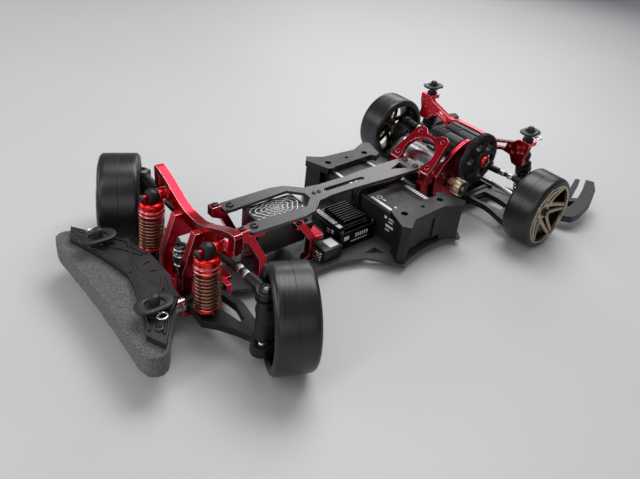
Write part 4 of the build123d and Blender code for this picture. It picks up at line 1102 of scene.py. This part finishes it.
def body_post(end, side, sign, x, y, base, pad, top):
    """Domed post, pad round it, web under the pad, and a wire clip through the post."""
    profile = [
        (0, base), (4.6, base), (4.6, base + 1.4), (4.2, base + 1.8), (3.3, base + 2.1),
        (3.0, base + 2.6), (3.0, top - 2.2), (2.85, top - 1.2), (2.4, top - 0.5),
        (1.7, top - 0.12), (0.8, top), (0, top)]
    name = f"{end}_{side}"
    post = lathe("body_post_" + name, profile, axis_matrix(place(x, y, 0), UP), "grey_plastic",
                 count=40)
    if name == "front_left":
        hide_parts("body_posts")
    piece("body_pad_" + name, pad_data(x, y, pad - 1.0), "grey_plastic")
    piece("pad_web_" + name, prism_data(stadium(0, 0, 3.1, 3.9), pad - 1.6, pad - 0.2),
          "grey_plastic", matrix=Matrix.Translation(place(x, y, 0)), bevel=0.2)
    clip_z = pad - 2.6
    leg = [place(x, y + sign * reach, clip_z) for reach in (-5.5, 0, 6.6)]
    loop = []
    loop_radius, loop_out = 2.5, 9.3
    for k in range(25):
        angle = math.radians(-90 + 360 * k / 24)
        loop.append(place(x + loop_radius * math.cos(angle),
                          y + sign * (loop_out + loop_radius * math.sin(angle)),
                          clip_z + 0.5 + 0.35 * (k / 24)))
    tube("clip_" + name, smooth_path(leg, steps=4) + loop, 0.58, "bright_steel", 10)


# end, x, y, then the heights of the post's base, the pad's middle and the post's top
for end, x, y, base, pad, top in [("front", *BRACKET_POST, 32.6, 37.7, 43.6),
                                  ("rear", -142.0, 55.5, 77.2, 84.5, 89.4)]:
    for side, sign in SIDES:
        body_post(end, side, sign, x, sign * y, base, pad, top)

# ---------------------------------------------------------------- links
KINGPIN_CAP = [(0, 52.5), (4.2, 52.5), (4.4, 52.8), (4.3, 53.6), (3.4, 54.2), (1.6, 54.4),
               (1.5, 53.4), (0, 53.4)]
REAR_LINK_CAP = [(0, 45.9), (3.2, 45.9), (3.4, 46.2), (3.2, 47.6), (2.4, 48.0), (1.2, 48.1),
                 (1.1, 47.4), (0, 47.4)]


def turnbuckle(end, side, start, finish, radius):
    """Six-sided bar with a thinner middle."""
    length = (finish - start).length * 1000
    profile = [
        (0, 0), (radius * 0.8, 0), (radius, 0.5), (radius, length * 0.36),
        (radius * 0.72, length * 0.4), (radius * 0.72, length * 0.6), (radius, length * 0.64),
        (radius, length - 0.5), (radius * 0.8, length), (0, length)]
    lathe(f"{end}_turnbuckle_{side}", profile, axis_matrix(start, finish - start), "steel",
          f"{end}_upper_link_{side}", 6, bevel=0.15)


for side, sign in SIDES:
    turnbuckle("front", side, place(126.0, sign * 42.0, 46.0), place(127.3, sign * 54.5, 47.8),
               2.75)
    turnbuckle("rear", side, place(-132, sign * 43.0, 42.75), place(-132, sign * 57.0, 43.35),
               2.5)
    lathe("kingpin_cap_" + side, KINGPIN_CAP,
          axis_matrix(place(AXLE_X, sign * KINGPIN_Y, 0), UP), "dark_steel",
          "front_upper_link_" + side, 32)
    lathe("rear_link_cap_" + side, REAR_LINK_CAP,
          axis_matrix(place(-132.0, sign * 72.0, 0), UP), "dark_steel", "rear_hub_" + side, 32)


# ---------------------------------------------------------------- electronics
def boxes(name, rows, material, bevel):
    """Boxes given as x from, x to, y from, y to, z from, z to."""
    parts = [prism_data([(x0, y0), (x1, y0), (x1, y1), (x0, y1)], z0, z1)
             for x0, x1, y0, y1, z0, z1 in rows]
    piece(name, join_data(parts), material, matrix=Matrix.Translation(place(0, 0, 0)),
          bevel=bevel)


def leads(name, rows, radius, count):
    """Three wires side by side; rows are x, y, z, then the steps in y and z between wires."""
    for k in range(3):
        knots = [place(x, y + step_y * k, z + step_z * k) for x, y, z, step_y, step_z in rows]
        tube(f"{name}_{k}", smooth_path(knots), radius, "wire_black", count)


top_bars = [(23.6, 27.8, -9.4 + 2.2 * k, -8.0 + 2.2 * k, 24.5, 24.8) for k in range(10)]
front_marks = [
    (24.0, 27.6, 14.6, 18.6, 24.5, 24.78), (28.4, 28.62, 12.0, 14.6, 17.2, 20.6),
    (28.4, 28.62, 7.0, 10.6, 18.4, 19.4), (28.4, 28.62, 7.0, 10.6, 16.4, 17.2),
    (28.4, 28.62, -8.0, 3.0, 12.6, 13.4), (28.4, 28.62, -8.0, -1.0, 10.6, 11.2)]
left_bars = [(2.0 + 2.2 * k, 3.2 + 2.2 * k, 22.9, 23.12, 15.0, 18.4) for k in range(6)]
left_marks = [(2.0, 18.0, 22.9, 23.12, 12.2, 12.9), (20.4, 25.2, 22.9, 23.12, 15.0, 18.4)]
boxes("esc_marks", top_bars + front_marks + left_bars + left_marks, "white_print", bevel=0.05)
ESC_SCREWS = [(26.0, -10.4, 22.0), (-4.0, 20.6, 22.0), (-4.0, -9.6, 22.0), (26.2, 21.4, 22.0)]
screws("esc_screws", (ESC_SCREWS, UP, 1.2, 0.8))

# receiver beside the servo, with its connector pins
boxes("receiver", [(31.0, 47.5, 15.0, 28.5, 8.0, 17.5)], "black_plastic", bevel=0.7)
boxes("receiver_label", [(33.0, 41.0, 17.0, 26.5, 17.45, 17.65)], "white_print", bevel=0.05)
PIN_PITCH, PIN_SIZE = 2.2, 0.5
pins = []
for column in range(5):
    for row in range(3):
        y, z = 17.0 + column * PIN_PITCH, 10.0 + row * PIN_PITCH
        pins.append((44.6, 50.6, y, y + PIN_SIZE, z, z + PIN_SIZE))
boxes("receiver_pins", pins, "brass", bevel=0.05)

leads("servo_lead", [
    (40.8, -10.6, 20, 1.3, -0.2), (36, -9.0, 15, 1.3, 0), (35.2, 0.0, 10.2, 1.2, 0),
    (38, 8.0, 10.4, 1.0, 0), (44, 12.0, 12.6, 0.7, 0), (50.0, 18.0, 14.0, 0.4, 1.2),
    (49.0, 19.0, 13.5, 0.3, 1.2)], radius=0.6, count=8)
# from the speed controller back over the battery, then down its right side to the motor
leads("motor_lead", [
    (-6.0, -8.0, 17.0, 3.4, 0), (-8.4, -8.4, 24.0, 3.4, 0), (-10.0, -8.6, 35.2, 3.2, 0),
    (-30.0, -7.4, 35.6, 3.1, 0), (-50.0, -7.0, 35.6, 3.1, 0), (-57.2, -9.0, 34.2, 2.8, 0),
    (-60.4, -14.0, 28.0, 1.2, -2.0), (-64.0, -24.0, 24.0, -0.3, -3.0),
    (-74.0, -33.0, 26.0, 0.2, -2.0), (-82.0, -35.2, 30.0, 0, 2.0),
    (-84.5, -33.6, 33.0, 0, 3.0)], radius=1.25, count=12)

# ---------------------------------------------------------------- motor and spur gear
MOTOR_ENDBELL = [(6.0, -35.0), (6.4, -35.4), (15.6, -35.2), (17.2, -34.0), (17.4, -31.2),
                 (16.0, -31.0), (6.0, -31.0)]
MOTOR_BAND = [(18.0, -30.6), (18.14, -30.3), (18.14, -24.4), (18.0, -24.1), (17.9, -24.1),
              (17.9, -30.6)]
SPUR_HUB = [(3.0, 37.6), (7.0, 37.6), (7.3, 38.0), (7.3, 39.0), (7.0, 39.4), (3.0, 39.6)]
SPUR_NUT = [(3.0, 39.2), (4.6, 39.2), (4.9, 39.6), (4.9, 41.8), (4.6, 42.3), (3.0, 42.8)]


def motor_vents():
    """Eight dark ovals in a ring on the left end of the motor, long outwards."""
    circle_radius, stretch_out = 12.3, 1.25
    disc = [(0, -0.02), (2.0, -0.02), (2.0, 0.16), (0, 0.16)]
    parts = []
    for k in range(8):
        angle = math.radians(45 * k + 20)
        c, s = math.cos(angle), math.sin(angle)
        centre = place(MOTOR_X + circle_radius * c, 16.8, MOTOR_Z + circle_radius * s)
        matrix = axis_matrix(centre, LEFT, aside=(c, 0, s))
        points, faces = lathe_data(disc, 20)
        parts.append(([matrix @ Vector((x, y, z * stretch_out)) for x, y, z in points], faces))
    piece("motor_vents", join_data(parts), "dark_steel")


motor_matrix = axis_matrix(place(MOTOR_X, 0, MOTOR_Z), LEFT)
lathe("motor_endbell", MOTOR_ENDBELL, motor_matrix, "black_plastic", closed=True)
lathe("motor_band", MOTOR_BAND, motor_matrix, "bright_steel", count=96, closed=True)
motor_vents()
spur_matrix = axis_matrix(place(SPUR_X, 0, SPUR_Z), LEFT)
lathe("spur_hub", SPUR_HUB, spur_matrix, "black_plastic", "spur_gear", 48, closed=True)
lathe("spur_nut", SPUR_NUT, spur_matrix, "shock_red", "spur_gear", 40, closed=True)

# ---------------------------------------------------------------- bumper bracket ribs
# name, radius, then x, y, z along the left rib
BRACKET_RIBS = [
    ("edge", 0.85, [(169.4, 0.6, 32.5), (170.8, 11, 32.6), (174.2, 25, 32.6), (179.6, 43, 32.6),
                    (181.6, 49, 32.5)]),
    ("rear", 0.85, [(154.6, 13, 32.5), (156.8, 20, 32.6), (159.4, 31, 32.6), (167.6, 41, 32.6),
                    (176.6, 55, 32.5)]),
    ("cross", 1.0, [(168.6, 30.5, 32.5), (164.6, 25, 32.7), (160.6, 19.5, 32.7),
                    (157.4, 13, 32.5)]),
]
POST_BOSS = [(0, 32.0), (6.2, 32.0), (6.2, 32.9), (5.9, 33.2), (5.0, 33.3), (0, 33.3)]
for side, sign in SIDES:
    for rib, radius, knots in BRACKET_RIBS:
        path = smooth_path([place(x, sign * y, z) for x, y, z in knots])
        tube(f"bracket_{rib}_rib_{side}", path, radius, "grey_plastic", 12)
    lathe("post_boss_" + side, POST_BOSS,
          axis_matrix(place(BRACKET_POST[0], sign * BRACKET_POST[1], 0), UP), "grey_plastic",
          count=40)


# ---------------------------------------------------------------- gear case ribs
def arc_rib(x, z, inner, outer, start, stop, y, width=1.1, steps=22):
    """Arc-shaped rib about an axis along Y; angles in degrees."""
    ring = []
    for radius, order in ((outer, range(steps + 1)), (inner, range(steps, -1, -1))):
        for k in order:
            angle = math.radians(start + (stop - start) * k / steps)
            ring.append((x + radius * math.cos(angle), z + radius * math.sin(angle)))
    count = len(ring)
    points = [place(px, py, pz) for py in (y, y + width) for px, pz in ring]
    faces = skin(2, count)
    for k in range(steps):
        for base in (0, count):
            faces.append((base + k, base + k + 1, base + count - 2 - k, base + count - 1 - k))
    return points, faces


RIB_Y = (-13.6, -11.0, -8.4, -5.8, -3.2)
piece("gear_case_ribs",
      join_data([arc_rib(SPUR_X, SPUR_Z, 8.8, 9.75, -15, 128, y) for y in RIB_Y]
                + [arc_rib(-126.0, 56.5, 8.3, 9.2, 22, 92, y) for y in RIB_Y]),
      "black_plastic")


# ---------------------------------------------------------------- stage
def pale_floor():
    half = 6
    mesh = bpy.data.meshes.new("floor")
    mesh.from_pydata([(-half, -half, 0), (half, -half, 0), (half, half, 0), (-half, half, 0)],
                     [], [(0, 1, 2, 3)])
    floor = bpy.data.objects.new("floor", mesh)
    bpy.context.scene.collection.objects.link(floor)
    shader = Shader("pale_floor")
    cloud = shader.noise(scale=3, detail=3)
    shader.surface(Base_Color=shader.mix(cloud, (0.52, 0.52, 0.53), (0.58, 0.58, 0.59)),
                   Roughness=0.55)
    mesh.materials.append(shader.material)
    floor.location.z = -0.0001        # just clear of the tyres


def area_light(name, location, target, size, power):
    light = bpy.data.lights.new(name, "AREA")
    light.shape = "RECTANGLE"
    light.size, light.size_y = size
    light.energy = power
    lamp = bpy.data.objects.new(name, light)
    lamp.location = location
    aim = Vector(target) - Vector(location)
    lamp.rotation_euler = aim.to_track_quat("-Z", "Y").to_euler()
    bpy.context.scene.collection.objects.link(lamp)


def studio_world():
    world = bpy.data.worlds.new("studio")
    world.use_nodes = True
    background = world.node_tree.nodes["Background"]
    background.inputs["Color"].default_value = (0.80, 0.82, 0.86, 1)
    background.inputs["Strength"].default_value = 0.26
    bpy.context.scene.world = world


def camera():
    """Looks back, right and down from the front left."""
    data = bpy.data.cameras.new("camera")
    data.sensor_width = 36
    data.lens = 33.60375
    data.shift_x = -0.1296875
    data.shift_y = -0.098125
    data.clip_start = 0.01
    item = bpy.data.objects.new("camera", data)
    bpy.context.scene.collection.objects.link(item)
    view = Vector((-0.6836, -0.5645, -0.4626)).normalized()
    across = Vector((-0.6925, 0.7019, 0.1669))
    across = (across - view * across.dot(view)).normalized()
    up = across.cross(view).normalized()
    matrix = Matrix((across, up, -view)).transposed().to_4x4()
    matrix.translation = place(283.1, 279.6, 265.7)
    item.matrix_world = matrix
    bpy.context.scene.camera = item


pale_floor()
area_light("top_soft", location=(-0.30, -0.20, 0.95), target=(0, 0, 0), size=(0.80, 0.55),
           power=7.5)
area_light("back_soft", location=(-0.95, -0.75, 0.60), target=(0, 0, 0.02), size=(0.9, 0.4),
           power=4.0)
area_light("strip_soft", location=(0.62, 0.10, 0.62), target=(0.10, 0.02, 0.03),
           size=(0.10, 0.9), power=1.5)
area_light("front_fill", location=(0.75, 0.95, 0.55), target=(0.05, 0, 0.03), size=(0.8, 0.5),
           power=1.6)
area_light("side_soft", location=(0.85, -0.55, 0.45), target=(0.05, 0, 0.03), size=(0.7, 0.4),
           power=2.6)
studio_world()
camera()
bpy.context.scene.view_settings.view_transform = "Standard"
bpy.context.scene.view_settings.look = "None"
